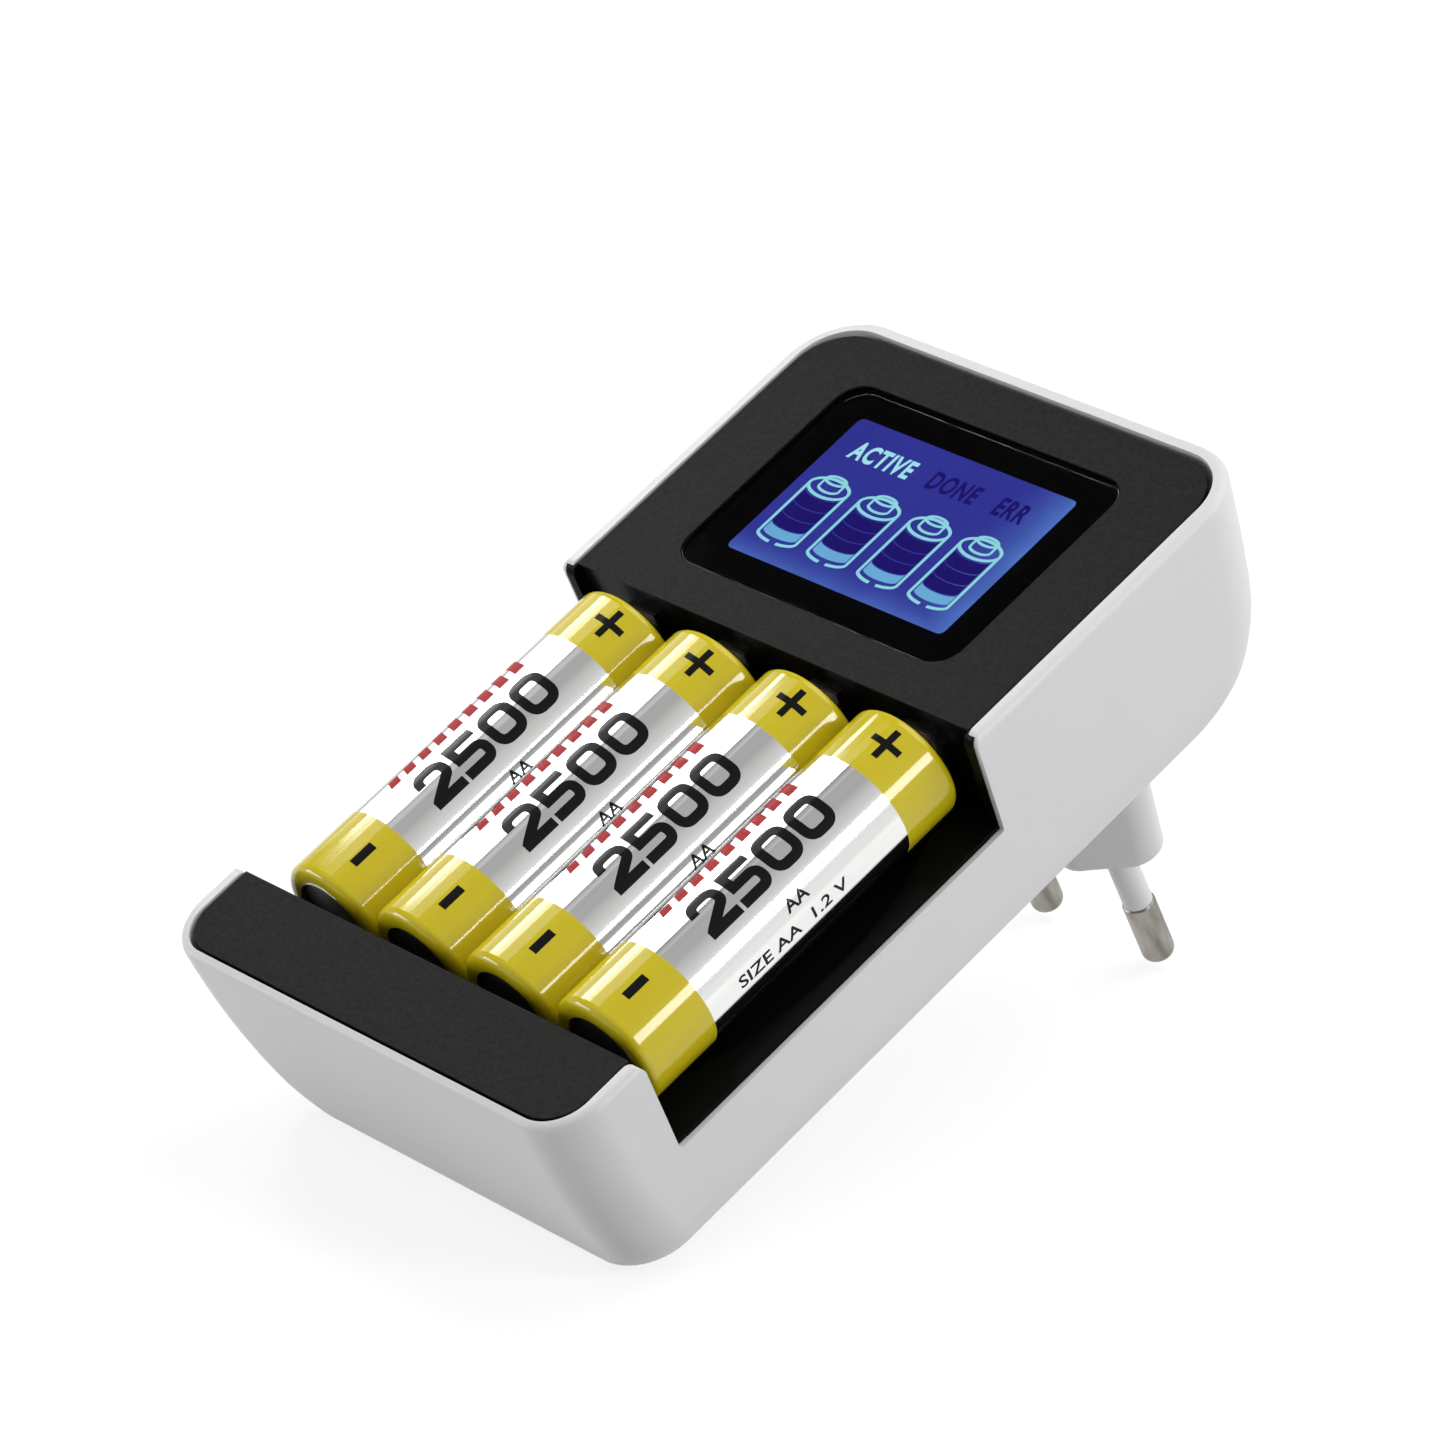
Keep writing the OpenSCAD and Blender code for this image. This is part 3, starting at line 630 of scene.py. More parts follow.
def make_laps(material):
    """The tray's edge along each notch's foot and up its rear end, and the cheek behind it."""
    foot = NOTCH_D - LAP_GAP
    ledge = NOTCH_D - LAP_T - LAP_PROUD
    front = NOTCH_FRONT + LAP_GAP

    def rear_at(depth):
        lean = NOTCH_LEAN * depth / NOTCH_D
        return NOTCH_REAR - LAP_FLANGE_GAP - lean + rim_in(depth, NOTCH_ROUND)

    flange = [(rear_at(depth) - LAP_FLANGE_T, depth) for depth in (*LAP_FLANGE_DEPTHS, ledge)]
    lap = [(front, ledge), (front, foot), (rear_at(foot), foot)]
    lap += [(rear_at(depth), depth) for depth in reversed(LAP_FLANGE_DEPTHS)]
    lap += flange
    cheek = [(y + CHEEK_SET, depth) for y, depth in flange]
    cheek += [(CHEEK_BACK, ledge), (CHEEK_BACK, CHEEK_TOP)]
    for side, hand in (("left", -1), ("right", 1)):
        for kind, points, edge, width in (("lap", lap, LAP_EDGE, LAP_W), ("cheek", cheek, CHEEK_EDGE, CHEEK_W)):
            rings = []
            for inset in (edge, edge + width):
                half = BODY_W / 2 - inset
                rings.append([place(hand * (half - side_in(depth)), y, depth) for y, depth in points])
            piece = loft(f"tray_{kind}_{side}", rings)
            soften(piece, LAP_ROUND)
            finish_piece(piece, material, "black_plastic")


def make_plug(material):
    levels = [(depth, PLUG_BASE_W, PLUG_BASE_T, 0.0) for depth in (BODY_H - FLOOR_T, BODY_H)]
    for out, down in arc(0, BODY_H + PLUG_H - PLUG_ROUND, PLUG_ROUND, 0, 90, PLUG_STEPS):
        levels.append((down, PLUG_END_W, PLUG_END_T, PLUG_ROUND - out))
    plug = loft("plug_body", [ring_at(plug_outline(w, t, i), d) for d, w, t, i in reversed(levels)])
    soften(plug, PLUG_EDGE, angle=PLUG_EDGE_ANGLE)
    finish_piece(plug, material, "white_plastic", "plug_block")


# Window


WINDOW_LOW, WINDOW_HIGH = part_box("window_lens")
LENS_R = 3.4
LENS_EDGE = 0.09
LENS_EDGE_STEPS = 6
WINDOW_STEPS = 10
SIDE_SLOPE = 0.1
PRINT_GAP = 0.03
PICTURE_HALF_W = 17.7
PICTURE_Y = (10.3, 33.4)
PICTURE_R = 0.8


def window_outline(inset):
    low_x, high_x = WINDOW_LOW.x / MM + inset, WINDOW_HIGH.x / MM - inset
    low_y, high_y = (WINDOW_LOW.y - STEP_Y) / MM + inset, (WINDOW_HIGH.y - STEP_Y) / MM - inset
    return round_corners(low_x, high_x, low_y, high_y, LENS_R - inset, LENS_R - inset, WINDOW_STEPS)


def make_window(lens_material, print_material):
    """The clear lens with black sides and a polished edge, and the black print on its back."""
    top = (FACE_Z - WINDOW_HIGH.z) / MM
    bottom = (FACE_Z - WINDOW_LOW.z) / MM - 2 * PRINT_GAP
    rings = [ring_at(window_outline(0), bottom)]
    for out, up in arc(0, 0, LENS_EDGE, 0, 90, LENS_EDGE_STEPS):
        rings.append(ring_at(window_outline(LENS_EDGE - out), top + LENS_EDGE - up))
    lens = loft("window_pane", rings)
    lens.data.materials.append(lens_material)
    lens.data.materials.append(print_material)
    for polygon in lens.data.polygons:
        if abs(polygon.normal.z) < SIDE_SLOPE:
            polygon.material_index = 1
    shade_smooth(lens)
    finish_piece(lens, None, "window", "window_lens")

    outer = window_outline(LENS_EDGE)
    inner = round_corners(-PICTURE_HALF_W, PICTURE_HALF_W, *PICTURE_Y, PICTURE_R, PICTURE_R, WINDOW_STEPS)
    high, low = bottom + PRINT_GAP / 3, bottom + PRINT_GAP
    loops = ((outer, high), (inner, high), (inner, low), (outer, low))
    count = len(outer)
    faces = []
    for k in range(len(loops)):
        faces += band_faces(count, k * count, (k + 1) % len(loops) * count)
    border = mesh_object("window_border", [v for points, depth in loops for v in ring_at(points, depth)], faces)
    face_outward(border)
    finish_piece(border, print_material, "window")


# Flat drawings that are laid on the display or wrapped round a cell


SPECK = 1e-6
MERGE_GAP = 1e-5
LEVEL_RADIANS = 0.001
MITRE_LIMIT = 0.4
WORD_FINENESS = 3
BEND_STEPS = 8


class Drawing:
    """Flat shapes in millimetres, joined into one where they overlap."""

    def __init__(self):
        self.spots = []
        self.shapes = []

    def fill(self, points):
        """Adds a shape, turned counter-clockwise."""
        spots = [Vector(p) for p in points]
        area = sum(a.x * b.y - b.x * a.y for a, b in zip(spots, spots[1:] + spots[:1])) / 2
        if abs(area) < SPECK:
            return
        first = len(self.spots)
        self.spots += spots if area > 0 else reversed(spots)
        self.shapes.append(list(range(first, len(self.spots))))

    def box(self, low_x, high_x, low_y, high_y):
        self.fill([(low_x, low_y), (high_x, low_y), (high_x, high_y), (low_x, high_y)])

    def stroke(self, points, width, closed=False):
        """A band of even width along a line."""
        count = len(points)
        left, right = [], []
        for k, (x, y) in enumerate(points):
            before = points[k - 1] if (k or closed) else points[k]
            after = points[(k + 1) % count] if (k < count - 1 or closed) else points[k]
            into = Vector((x - before[0], y - before[1]))
            out = Vector((after[0] - x, after[1] - y))
            into = (into if into.length > 0 else out).normalized()
            out = (out if out.length > 0 else into).normalized()
            along = (into + out).normalized()
            side = Vector((-along.y, along.x)) * (width / 2 / max(MITRE_LIMIT, along.dot(out)))
            left.append((x + side.x, y + side.y))
            right.append((x - side.x, y - side.y))
        for k in range(count if closed else count - 1):
            n = (k + 1) % count
            self.fill((left[k], right[k], right[n]))
            self.fill((left[k], right[n], left[n]))

    def words(self, body, low_x, high_x, low_y, high_y, bold, spacing=1.0, turn=False):
        """Words fitted to a box; turned ones read along the second axis."""
        curve = bpy.data.curves.new("words", "FONT")
        curve.body = body
        curve.offset = bold
        curve.space_character = spacing
        curve.resolution_u = WORD_FINENESS
        holder = add_object("words", curve)
        bpy.context.view_layer.update()
        mesh = holder.to_mesh()
        spots = [v.co.xy for v in mesh.vertices]
        polygons = [tuple(p.vertices) for p in mesh.polygons]
        holder.to_mesh_clear()
        bpy.data.objects.remove(holder)
        low = Vector((min(p.x for p in spots), min(p.y for p in spots)))
        high = Vector((max(p.x for p in spots), max(p.y for p in spots)))
        fitted = []
        for p in spots:
            u = (p.x - low.x) / (high.x - low.x)
            v = (p.y - low.y) / (high.y - low.y)
            if turn:
                u, v = 1 - v, u
            fitted.append((low_x + u * (high_x - low_x), low_y + v * (high_y - low_y)))
        for polygon in polygons:
            self.fill([fitted[k] for k in polygon])

    def laid(self, name, where, strip=None):
        """A piece with every point at where(x, y), in narrow strips if it has to bend."""
        spots, _, faces, _, _, sources = delaunay_2d_cdt(self.spots, [], self.shapes, 0, MERGE_GAP)
        bm = bmesh.new()
        made = [bm.verts.new((p.x, p.y, 0)) for p in spots]
        for face, inside in zip(faces, sources):
            if inside:
                bm.faces.new([made[k] for k in face])
        bmesh.ops.delete(bm, geom=[v for v in bm.verts if not v.link_faces], context="VERTS")
        bmesh.ops.dissolve_limit(bm, angle_limit=LEVEL_RADIANS, verts=bm.verts, edges=bm.edges)
        if strip:
            low, high = min(v.co.x for v in bm.verts), max(v.co.x for v in bm.verts)
            for k in range(1, math.ceil((high - low) / strip)):
                geometry = bm.verts[:] + bm.edges[:] + bm.faces[:]
                spot = (low + k * strip, 0, 0)
                bmesh.ops.bisect_plane(bm, geom=geometry, plane_co=spot, plane_no=(1, 0, 0))
        for v in bm.verts:
            v.co = where(v.co.x, v.co.y)
        return built_object(name, bm)


def filleted(points, radii):
    """A line whose inner corners are rounded by the given radii."""
    made = [points[0]]
    for k in range(1, len(points) - 1):
        corner = Vector(points[k])
        into = (corner - Vector(points[k - 1])).normalized()
        out = (Vector(points[k + 1]) - corner).normalized()
        bend = math.acos(max(-1.0, min(1.0, into.dot(out))))
        reach = radii[k - 1] * math.tan(bend / 2)
        if reach < SPECK:
            made.append(tuple(corner))
            continue
        start, end = corner - into * reach, corner + out * reach
        for s in range(BEND_STEPS + 1):
            t = s / BEND_STEPS
            p = start.lerp(corner, t).lerp(corner.lerp(end, t), t)
            made.append((p.x, p.y))
    made.append(points[-1])
    return made


# Display


LCD_TOP = (FACE_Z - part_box("lcd_cell")[1].z) / MM
LCD_GAP = 0.012

# Icons: an upright cell with a button, filled in bars
ICON_START = -12.7
ICON_PITCH = 8.28
ICON_RX = 3.1
ICON_RY = 1.45
ICON_TOP = 22.69
ICON_FOOT = 14.0
ICON_FOOT_RY = 0.95
ICON_LINE = 0.42
ICON_STEPS = 36
BUTTON_RX = 1.6
BUTTON_RY = 0.62
BUTTON_RISE = 1.3
BUTTON_LINE = 0.357
FOOT_GAP = 10
FOOT_STEPS = 14
BAR_HALF = 2.72
BAR_SAG = 0.7
BAR_EDGES = (14.4, 15.97, 17.76, 19.64, 21.6)
BAR_GAP = 0.08

# Words: text and its two ends
LIT_WORDS = (("ACTIVE", -14.8, -5.0),)
IDLE_WORDS = (("DONE", -2.0, 5.6), ("ERR", 8.8, 13.6))
WORD_Y = (27.6, 30.5)
WORD_BOLD = 0.035
WORD_SPACING = 1.14

# Light: clouds in the film, and its paler right and lower edges: start and end, and curve
LIT_CLOUD = 6.0
LIT_SHADE = 0.93
FILM_CLOUD = 9.0
FILM_CLOUD_SPAN = (0.2, 0.7, 0.55, 1.0)
PALE_RIGHT = (8.0, 17.8)
PALE_RIGHT_CURVE = 2.5
PALE_LOW = (14.5, 10.2)
PALE_LOW_CURVE = 2.0
PALE_LOW_SHARE = 0.7


def oval(cx, cy, rx, ry, start=0, end=360 - 360 / ICON_STEPS, steps=ICON_STEPS - 1):
    """Points round an oval, or round a part of it."""
    return [(cx + rx * x, cy + ry * y) for x, y in arc(0, 0, 1, start, end, steps)]


def on_display(layer):
    """Places a drawing's point on the display glass, some layers above it."""
    return lambda x, y: place(x, y, LCD_TOP - layer * LCD_GAP)


def draw_icon_lines(drawing, x):
    """Outline of an upright cell: button, top, sides and an open foot."""
    top = ICON_TOP + BUTTON_RISE
    drawing.stroke(oval(x, ICON_TOP, ICON_RX, ICON_RY), ICON_LINE, closed=True)
    drawing.stroke(oval(x, top, BUTTON_RX, BUTTON_RY), BUTTON_LINE, closed=True)
    neck = oval(x, ICON_TOP, BUTTON_RX, BUTTON_RY, 180, 360, ICON_STEPS // 2)
    drawing.stroke([(x - BUTTON_RX, top)] + neck + [(x + BUTTON_RX, top)], BUTTON_LINE)
    side = [(-ICON_RX, ICON_TOP)]
    side += oval(0, ICON_FOOT, ICON_RX, ICON_FOOT_RY, 180, 270 - FOOT_GAP, FOOT_STEPS)
    for hand in (1, -1):
        drawing.stroke([(x + hand * px, py) for px, py in side], ICON_LINE)


def draw_level(drawing, x, level):
    """One of the bars that fill a cell's outline, counted from the foot."""
    low, high = BAR_EDGES[level] + BAR_GAP, BAR_EDGES[level + 1] - BAR_GAP
    under = oval(x, low, BAR_HALF, BAR_SAG, 180, 360, ICON_STEPS // 2)
    over = [(px, py - low + high) for px, py in reversed(under)]
    drawing.fill(under + over)


def lit(name, colour):
    """A display colour that glows by itself, slightly uneven as a lit film is."""
    material = new_material(name, (0.0, 0.0, 0.0), 0.5, emission_strength=1.0, specular_ior_level=0.0)
    glow = mixed(material, noise(material, LIT_CLOUD), darker(colour, LIT_SHADE), colour)
    link_shader(material, glow, "Emission Color")
    return material


def display_material():
    """Blue lit film, paler towards the edges where the lamps sit."""
    material = new_material("display_blue", (0.0, 0.0, 0.0), 0.4, emission_strength=1.0, specular_ior_level=0.0)
    right = ranged(material, axis_value(material, "X"), *[x * MM for x in PALE_RIGHT])
    right = math_node(material, "POWER", right, PALE_RIGHT_CURVE)
    low = ranged(material, axis_value(material, "Y"), *[STEP_Y + y * MM for y in PALE_LOW])
    low = math_node(material, "POWER", low, PALE_LOW_CURVE)
    low = math_node(material, "MULTIPLY", low, PALE_LOW_SHARE)
    cloud = noise(material, FILM_CLOUD)
    edge = math_node(material, "MAXIMUM", right, low)
    edge = math_node(material, "MULTIPLY", edge, ranged(material, cloud, *FILM_CLOUD_SPAN))
    deep = mixed(material, cloud, (0.030, 0.034, 0.30), (0.040, 0.046, 0.36))
    link_shader(material, mixed(material, edge, deep, (0.10, 0.22, 0.66)), "Emission Color")
    return material


def make_display():
    lines, level_bars, idle_bars, lit_words, idle_words = [Drawing() for _ in range(5)]
    for k in range(CELL_COUNT):
        x = ICON_START + ICON_PITCH * k
        draw_icon_lines(lines, x)
        draw_level(level_bars, x, 0)
        for level in range(1, len(BAR_EDGES) - 1):
            draw_level(idle_bars, x, level)
    for drawing, words in ((lit_words, LIT_WORDS), (idle_words, IDLE_WORDS)):
        for body, low_x, high_x in words:
            drawing.words(body, low_x, high_x, *WORD_Y, WORD_BOLD, WORD_SPACING)
    navy = lit("display_navy", (0.016, 0.008, 0.17))
    for drawing, name, material, layer in (
            (idle_words, "display_idle_words", navy, 1),
            (idle_bars, "display_idle_bars", navy, 1),
            (level_bars, "display_level_bars", lit("display_light", (0.17, 0.48, 0.80)), 1),
            (lit_words, "display_lit_words", lit("display_word", (0.44, 0.90, 1.0)), 1),
            (lines, "display_lines", lit("display_pale", (0.33, 0.80, 0.90)), 2)):
        finish_piece(drawing.laid(name, on_display(layer)), material, "display_glass")
    set_nodes(display_material(), "lcd_cell")


# Turned pieces: cells and pins


CELL_R = 7.25
CELL_L = 49.0
CELL_STEPS = 96
BUTTON_R = 2.75
BUTTON_H = 1.2
BUTTON_FOOT = 0.1
BUTTON_ROUND = 0.35
BUTTON_STEPS = 4
SHOULDER_R = 1.0
SHOULDER_STEPS = 6
SHOULDER_END = 0.05
MINUS_BAND = 9.85
PLUS_BAND = 40.75
BAND_BLUR = 0.03
# Radii and depths of the sunk minus plate and of the groove round the plus cap
MINUS_PLATE = ((0.0, 0.5), (4.6, 0.5), (4.85, 0.35), (4.95, 0.08), (5.1, 0.0))
PLUS_GROOVE = ((5.4, 0.0), (5.2, 0.12), (3.4, 0.12), (3.1, 0.0))

# Label film
FILM_GRAIN = 0.5
FILM_PULL = 1.6
FILM_PULL_STRETCH = (1, 14, 1)
FILM_BUMP = 0.10
FILM_BUMP_DEPTH = 0.05

# Pins: the groove under the sleeve and the shoulder below it
PIN_R = 2.0
PIN_L = 9.0
PIN_TIP_R = 1.2
PIN_TIP_STEPS = 9
PIN_STEPS = 64
PIN_GROOVE = 0.22
PIN_GROOVE_L = 0.08
PIN_SHOULDER = (0.12, 0.3)


def lathe(name, profiles, materials, steps):
    """A turned piece about its own Y axis, with one material for each stretch of profile."""
    bm = bmesh.new()
    turns = [2 * math.pi * k / steps for k in range(steps)]
    rings = []
    for index, profile in enumerate(profiles):
        for radius, length in profile:
            r, y = radius * MM, length * MM
            spots = [(r * math.sin(a), y, r * math.cos(a)) for a in turns] if radius else [(0, y, 0)]
            rings.append(([bm.verts.new(spot) for spot in spots], index))
    for (low, _), (high, index) in zip(rings, rings[1:]):
        for k in range(steps):
            n = (k + 1) % steps
            corners = [low[k % len(low)], low[n % len(low)], high[n % len(high)], high[k % len(high)]]
            unique = list(dict.fromkeys(corners))
            if len(unique) > 2:
                face = bm.faces.new(unique)
                face.material_index = index
                face.smooth = True
    bmesh.ops.recalc_face_normals(bm, faces=bm.faces)
    piece = built_object(name, bm)
    for material in materials:
        piece.data.materials.append(material)
    return piece


def cell_profile():
    """Radius and length of the minus plate, the sleeve and the plus end, from the minus end."""
    r, edge = SHOULDER_R, BUTTON_ROUND
    middle = CELL_R - r
    end = CELL_L + BUTTON_H
    bands = (r + SHOULDER_END, MINUS_BAND, PLUS_BAND, CELL_L - r - SHOULDER_END)
    sleeve = arc(middle, r, r, -90, 0, SHOULDER_STEPS)
    sleeve += [(CELL_R, length) for length in bands]
    sleeve += arc(middle, CELL_L - r, r, 0, 90, SHOULDER_STEPS)
    plus = [(radius, CELL_L - depth) for radius, depth in PLUS_GROOVE]
    plus.append((BUTTON_R, CELL_L + BUTTON_FOOT))
    plus += arc(BUTTON_R - edge, end - edge, edge, 0, 90, BUTTON_STEPS)
    plus.append((0.0, end))
    return MINUS_PLATE, sleeve, plus


def pin_profile():
    """The groove under the sleeve, the straight pin and its round tip, down from the sleeve's end."""
    r, tip, neck = PIN_R, PIN_TIP_R, PIN_R - PIN_GROOVE
    groove = [(0.0, 0.0), (neck, 0.0), (neck, PIN_GROOVE_L)]
    straight = [(r - PIN_GROOVE / 3, PIN_SHOULDER[0]), (r, PIN_SHOULDER[1])]
    straight += arc(r - tip, PIN_L - tip, tip, 0, 90, PIN_TIP_STEPS)
    return groove, straight + [(0.0, PIN_L)]


def make_pins(metal, dark):
    """Each pin is turned about an axis that points down, out of the plug; the groove under its sleeve takes the
    near-black material, a painted shade ring at the pin's top.
    """
    for side in ("left", "right"):
        low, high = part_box(f"pin_{side}")
        piece = lathe(f"plug_pin_{side}", pin_profile(), (dark, metal), PIN_STEPS)
        piece.location = ((low.x + high.x) / 2, (low.y + high.y) / 2, low.z + PIN_L * MM)
        piece.rotation_euler = (-math.pi / 2, 0, 0)
        finish_piece(piece, None, "nickel", f"pin_{side}")


def label_material():
    """Metallised film with printed yellow ends, drawn tight over the can."""
    material = new_material("cell_label", (0.9, 0.9, 0.89), 0.09)
    along = axis_value(material, "Y")
    low, high = [
        ranged(material, along, (edge - BAND_BLUR) * MM, (edge + BAND_BLUR) * MM, *ends)
        for edge, ends in ((MINUS_BAND, (1.0, 0.0)), (PLUS_BAND, (0.0, 1.0)))]
    band = math_node(material, "MAXIMUM", low, high)
    fine = noise(material, FILM_GRAIN, detail=3.0)
    pull = noise(material, FILM_PULL, detail=3.0, stretch=FILM_PULL_STRETCH)
    yellow = mixed(material, fine, (0.645, 0.525, 0.009), (0.685, 0.56, 0.013))
    silver = mixed(material, pull, (0.77, 0.77, 0.76), (0.89, 0.89, 0.88))
    tint(material, band, silver, yellow)
    link_shader(material, math_node(material, "SUBTRACT", 1.0, band), "Metallic")
    add_bump(material, pull, FILM_BUMP, FILM_BUMP_DEPTH)
    return material


# Print on the cells: turns are from the top to the right, and lengths from the minus end


INK_GAP = 0.012
INK_STRIP = 0.3
SIGN_TURN = 24.2
PLUS_V = 45.28
PLUS_HALF = (1.95, 2.05)
PLUS_LINE = 0.42
MINUS_V = 5.38
MINUS_HALF = (0.55, 1.6)
NUMBER = "2500"
NUMBER_TURN = 43.2
NUMBER_START = 15.25
DIGIT_PITCH = 5.17
DIGIT_H = 5.3
DIGIT_W = 4.7
DIGIT_LINE = 1.22
DIGIT_ROUND = 1.3
# A two: ends and rounding of its curved stroke, and the wedge where that meets the foot
TWO_START = 3.3
TWO_BEND = 2.85
TWO_BEND_R = 0.8
TWO_END = (0.75, 0.9)
TWO_WEDGE = (1.1, (0.44, 1.42), (0, 1.1))
# A five: how much shorter its top is, how far its back and waist are shifted, and its rounding
FIVE_SHORT = 0.2
FIVE_SHIFT = 0.1
FIVE_R = 1.0
# Words: text, turns and lengths that they span, and boldness
CELL_WORDS = (("AA", (59.5, 72), (23.6, 27.0), 0.02), ("SIZE AA  1.2 V", (82, 94), (14.5, 31.5), 0.015))
# Red bars: they start on one line, and each is longer than the last
BARS_TURN = -9
BARS_START = 14.0
BARS_COUNT = 9
BARS_PITCH = 2.5
BARS_LINE = 1.5
BARS_SLANT = 0.6
BARS_H = 1.6
BARS_GROWTH = 0.2


def on_cell(u, v):
    """A point on the label: u millimetres round from the top, v along from the minus end."""
    r = (CELL_R + INK_GAP) * MM
    turn = u / CELL_R
    return Vector((r * math.sin(turn), v * MM, r * math.cos(turn)))


def round_at(degrees):
    return math.radians(degrees) * CELL_R


def digit_shapes(digit):
    """Lines and fills of a squarish digit, in millimetres from its lower left corner."""
    h, w, r = DIGIT_LINE / 2, DIGIT_W, DIGIT_ROUND
    right, top, waist, back = w - h, DIGIT_H - h, DIGIT_H / 2 + FIVE_SHIFT, h + FIVE_SHIFT
    if digit == "0":
        start = (w / 2, top)
        path = [start, (right, top), (right, h), (h, h), (h, top), start]
        return [(filleted(path, [r] * 4)[:-1], True)], []
    if digit == "2":
        path = [(h, TWO_START), (h, top), (right, top), (right, TWO_BEND), TWO_END]
        foot = [(0, 0), (w, 0), (w, 2 * h), (TWO_WEDGE[0], 2 * h), *TWO_WEDGE[1:]]
        return [(filleted(path, [r, r, TWO_BEND_R]), False)], [foot]
    path = [(w - FIVE_SHORT, top), (back, top), (back, waist), (right, waist), (right, h), (0, h)]
    return [(filleted(path, [0, 0, FIVE_R, FIVE_R]), False)], []


def draw_number(drawing):
    """Digits that read along the cell, with their feet towards its right side."""
    foot = round_at(NUMBER_TURN)
    for k, digit in enumerate(NUMBER):
        lines, fills = digit_shapes(digit)
        start = NUMBER_START + k * DIGIT_PITCH
        for points, closed in lines:
            drawing.stroke([(foot - y, start + x) for x, y in points], DIGIT_LINE, closed)
        for points in fills:
            drawing.fill([(foot - y, start + x) for x, y in points])


def draw_signs(drawing):
    """Plus and minus signs on the yellow ends."""
    u = round_at(SIGN_TURN)
    line, (wide, high) = PLUS_LINE, PLUS_HALF
    drawing.box(u - wide, u + wide, PLUS_V - line, PLUS_V + line)
    drawing.box(u - line, u + line, PLUS_V - high, PLUS_V - line)
    drawing.box(u - line, u + line, PLUS_V + line, PLUS_V + high)
    wide, high = MINUS_HALF
    drawing.box(u - wide, u + wide, MINUS_V - high, MINUS_V + high)


def draw_bars(drawing):
    """A row of slanted bars, each longer than the last."""
    low = round_at(BARS_TURN)
    for k in range(BARS_COUNT):
        v = BARS_START + BARS_PITCH * k
        high = low - (BARS_H + BARS_GROWTH * k)
        slanted = v + BARS_SLANT
        drawing.fill([(low, v), (low, v + BARS_LINE), (high, slanted + BARS_LINE), (high, slanted)])


def make_cells(label, steel, dark, ink, red):
    ink_drawing, red_drawing = Drawing(), Drawing()
    draw_signs(ink_drawing)
    draw_number(ink_drawing)
    for body, turns, lengths, bold in CELL_WORDS:
        ink_drawing.words(body, *[round_at(turn) for turn in turns], *lengths, bold, turn=True)
    draw_bars(red_drawing)
    prints = [
        (ink_drawing.laid("cell_ink", on_cell, INK_STRIP), ink),
        (red_drawing.laid("cell_bars", on_cell, INK_STRIP), red)]
    for index in range(1, CELL_COUNT + 1):
        low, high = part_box(f"cell_{index}")
        spot = Vector(((low.x + high.x) / 2, low.y, (low.z + high.z) / 2))
        piece = lathe(f"aa_cell_{index}", cell_profile(), (dark, label, steel), CELL_STEPS)
        piece.location = spot
        finish_piece(piece, None, "cell_sleeve", f"cell_{index}")
        for source, material in prints:
            copy = add_object(f"{source.name}_{index}", source.data)
            copy.location = spot
            finish_piece(copy, material, "cell_sleeve")
    for source, _ in prints:
        bpy.data.objects.remove(source)


# Stage


def make_floor():
    """A table that is white to see and mirror, grey in the light it throws back, and clear from below."""
    foot = place(0, FRONT_Y + front_in(BODY_H), BODY_H) - TABLE_UP * (FLOOR_DROP * MM)
    side = Vector((1, 0, 0)) * (FLOOR_HALF * MM)
    ahead = TABLE_UP.cross(side)
    spots = [foot + side * u + ahead * v for u, v in ((-1, -1), (1, -1), (1, 1), (-1, 1))]
    floor = mesh_object("floor", spots, [(0, 1, 2, 3)])
    material = bpy.data.materials.new("floor_white")
    material.use_nodes = True
    material.node_tree.nodes.clear()

    def grey(level):
        made = node(material, "ShaderNodeBsdfDiffuse")
        made.inputs["Color"].default_value = (level, level, level, 1.0)
        return made.outputs[0]

    def either(factor, a, b):
        made = node(material, "ShaderNodeMixShader")
        for socket, source in zip(made.inputs, (factor, a, b)):
            link(material, source, socket)
        return made.outputs[0]

    rays = node(material, "ShaderNodeLightPath").outputs
    seen = math_node(material, "MAXIMUM", rays["Is Camera Ray"], rays["Is Glossy Ray"])
    seen = math_node(material, "MAXIMUM", seen, rays["Is Transmission Ray"])
    glow = node(material, "ShaderNodeEmission")
    glow.inputs["Strength"].default_value = FLOOR_GLOW
    shown = node(material, "ShaderNodeAddShader")
    link(material, grey(FLOOR_SHADE), shown.inputs[0])
    link(material, glow.outputs[0], shown.inputs[1])
    above = either(seen, grey(FLOOR_BOUNCE), shown.outputs[0])
    from_below = node(material, "ShaderNodeNewGeometry").outputs["Backfacing"]
    surface = either(from_below, above, node(material, "ShaderNodeBsdfTransparent").outputs[0])
    link(material, surface, node(material, "ShaderNodeOutputMaterial").inputs["Surface"])
    floor.data.materials.append(material)


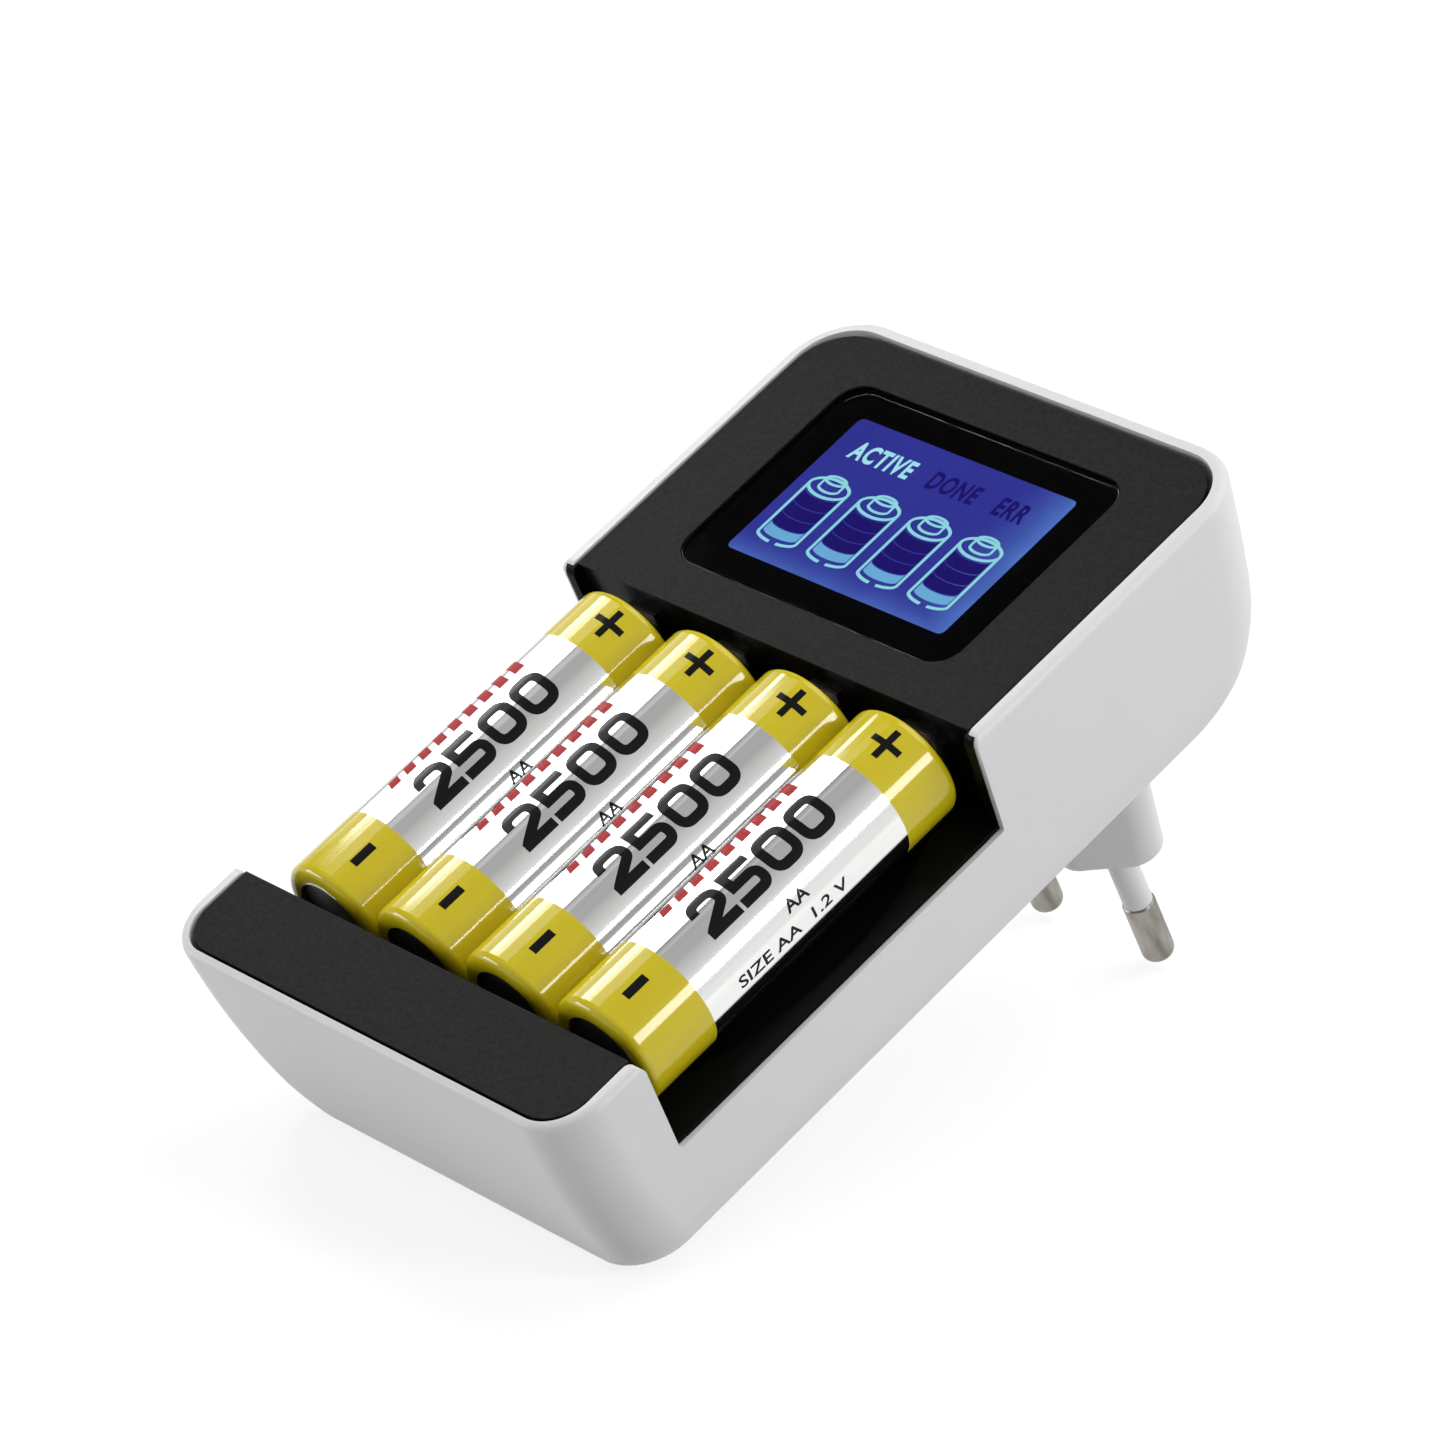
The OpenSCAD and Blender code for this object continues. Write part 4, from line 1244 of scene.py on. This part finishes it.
def make_world():
    """Grey overhead, paler near the table and on the right, dark in front and where the window mirrors."""
    world = bpy.data.worlds.new("studio")
    bpy.context.scene.world = world
    world.use_nodes = True
    background = world.node_tree.nodes["Background"]
    direction = node(world, "ShaderNodeTexCoord").outputs["Generated"]

    def towards(axis, span):
        dot = node(world, "ShaderNodeVectorMath", operation="DOT_PRODUCT")
        link(world, direction, dot.inputs[0])
        dot.inputs[1].default_value = axis
        return ranged(world, dot.outputs["Value"], *span)

    mirrored = Vector((-CAMERA_BACK.x, -CAMERA_BACK.y, CAMERA_BACK.z))
    level = math_node(world, "ADD", towards(TABLE_UP, WORLD_HEIGHT), towards(WORLD_RIGHT_AIM, WORLD_RIGHT))
    level = math_node(world, "MULTIPLY", level, towards(mirrored, WORLD_MIRROR_SHADE))
    level = math_node(world, "MULTIPLY", level, towards(WORLD_FRONT_AIM, WORLD_FRONT_SHADE))
    link(world, level, background.inputs["Strength"])
    background.inputs["Color"].default_value = (1.0, 1.0, 1.0, 1.0)


def facing(spot, back, right):
    """The matrix of a lamp or camera at a place, with its back and its right side turned as given."""
    up = back.cross(right).normalized()
    return Matrix.Translation(spot) @ Matrix((up.cross(back), up, back)).transposed().to_4x4()


def softbox(name, spot, aim, across, width, height, level):
    """A lamp panel of even brightness at a place, facing another, with its width along a direction."""
    spot, aim = place(*spot), place(*aim)
    data = bpy.data.lights.new(name, "AREA")
    data.shape = "RECTANGLE"
    data.size = width * MM
    data.size_y = height * MM
    data.energy = level * math.pi * data.size * data.size_y
    add_object(name, data).matrix_world = facing(spot, (spot - aim).normalized(), Vector(across))


def make_lamps():
    """A key from behind and above, a fill from the front left, and the lamps that the cells mirror."""
    for name, (spot, aim, size, level) in (("key", KEY), ("fill", FILL)):
        softbox(name, spot, aim, (1, 0, 0), size, size, level)
    for name, angle, distance, (near, far), wide, level in BESIDE:
        x = distance * math.sin(math.radians(angle))
        z = distance * math.cos(math.radians(angle))
        middle = (near + far) / 2
        softbox(name, (x, middle, -z), (0, middle, 0), (0, 1, 0), far - near, wide, level)


def make_camera():
    data = bpy.data.cameras.new("camera")
    data.sensor_width = SENSOR
    data.lens = FOCAL_PIXELS / PHOTO_PIXELS * SENSOR
    data.clip_start, data.clip_end = [distance * MM for distance in CAMERA_CLIP]
    camera = add_object("camera", data)
    back = CAMERA_BACK.normalized()
    camera.matrix_world = facing(place(0, 0, 0) + CAMERA_PLACE, back, CAMERA_UP.cross(back).normalized())
    bpy.context.scene.camera = camera


make_camera()
make_floor()
make_world()
make_lamps()

white = moulded("white_satin", (0.78, 0.78, 0.795), 0.42)
black_print = moulded("black_print", (0.0018, 0.0018, 0.0018), 0.5, specular_ior_level=0.0)
clear = new_material("window_clear", (0.95, 0.95, 0.96), 0.02, transmission_weight=1.0, ior=1.49)
make_housing(white)
make_plug(white)
make_window(clear, black_print)
make_display()

tray_black = tray_material()
set_nodes(tray_black, "battery_tray")
make_laps(tray_black)
soften_node("battery_tray", TRAY_EDGE)
set_nodes(white, "sleeve_left", "sleeve_right")
pin_nickel = nickel_material("nickel", (0.36, 0.335, 0.305), "Y", shade=0.55)
# The groove under each sleeve is painted near-black: a painted shade ring where the pin meets the sleeve.
make_pins(pin_nickel, moulded("pin_groove_painted_shade", (0.02, 0.02, 0.02), 0.6))
strip = nickel_material("contact_nickel", (0.30, 0.29, 0.27), "Z")
for index in range(1, CELL_COUNT + 1):
    set_nodes(strip, f"positive_contact_{index}", f"negative_contact_{index}", f"negative_terminal_{index}")
steel = nickel_material("screw_steel", (0.5, 0.51, 0.53), "X")
set_nodes(steel, "display_screws", "board_screws", "housing_screws")
set_nodes(board_material(), "display_board", "main_board")
for name, colour, roughness, users in (
        ("component_black", (0.02, 0.02, 0.021), 0.5, (
            "board_link", "output_capacitor", "bridge_rectifier", "switching_chip", "controller_chip",
            "charge_transistors")),
        ("component_pale", (0.75, 0.72, 0.62), 0.5, ("backlight_leds", "optocoupler")),
        ("light_guide", (0.82, 0.84, 0.87), 0.3, ("light_guide",)),
        ("contact_rubber", (0.45, 0.38, 0.35), 0.7, ("contact_rubber",)),
        ("lacquer_tan", (0.40, 0.26, 0.11), 0.4, ("fuse_resistor",)),
        ("ferrite", (0.06, 0.055, 0.05), 0.6, ("transformer",)),
        ("sleeve_blue", (0.02, 0.04, 0.11), 0.35, ("bulk_capacitor",))):
    set_nodes(moulded(name, colour, roughness), *users)

make_cells(
    label=label_material(),
    steel=nickel_material("cell_steel", (0.62, 0.61, 0.60), "X"),
    dark=moulded("cell_end", (0.05, 0.05, 0.048), 0.45),
    ink=moulded("black_ink", (0.004, 0.004, 0.004), 0.16, specular_ior_level=0.2),
    red=moulded("red_ink", (0.44, 0.02, 0.025), 0.3, specular_ior_level=0.06),
)

scene = bpy.context.scene
scene.view_settings.view_transform = "Standard"
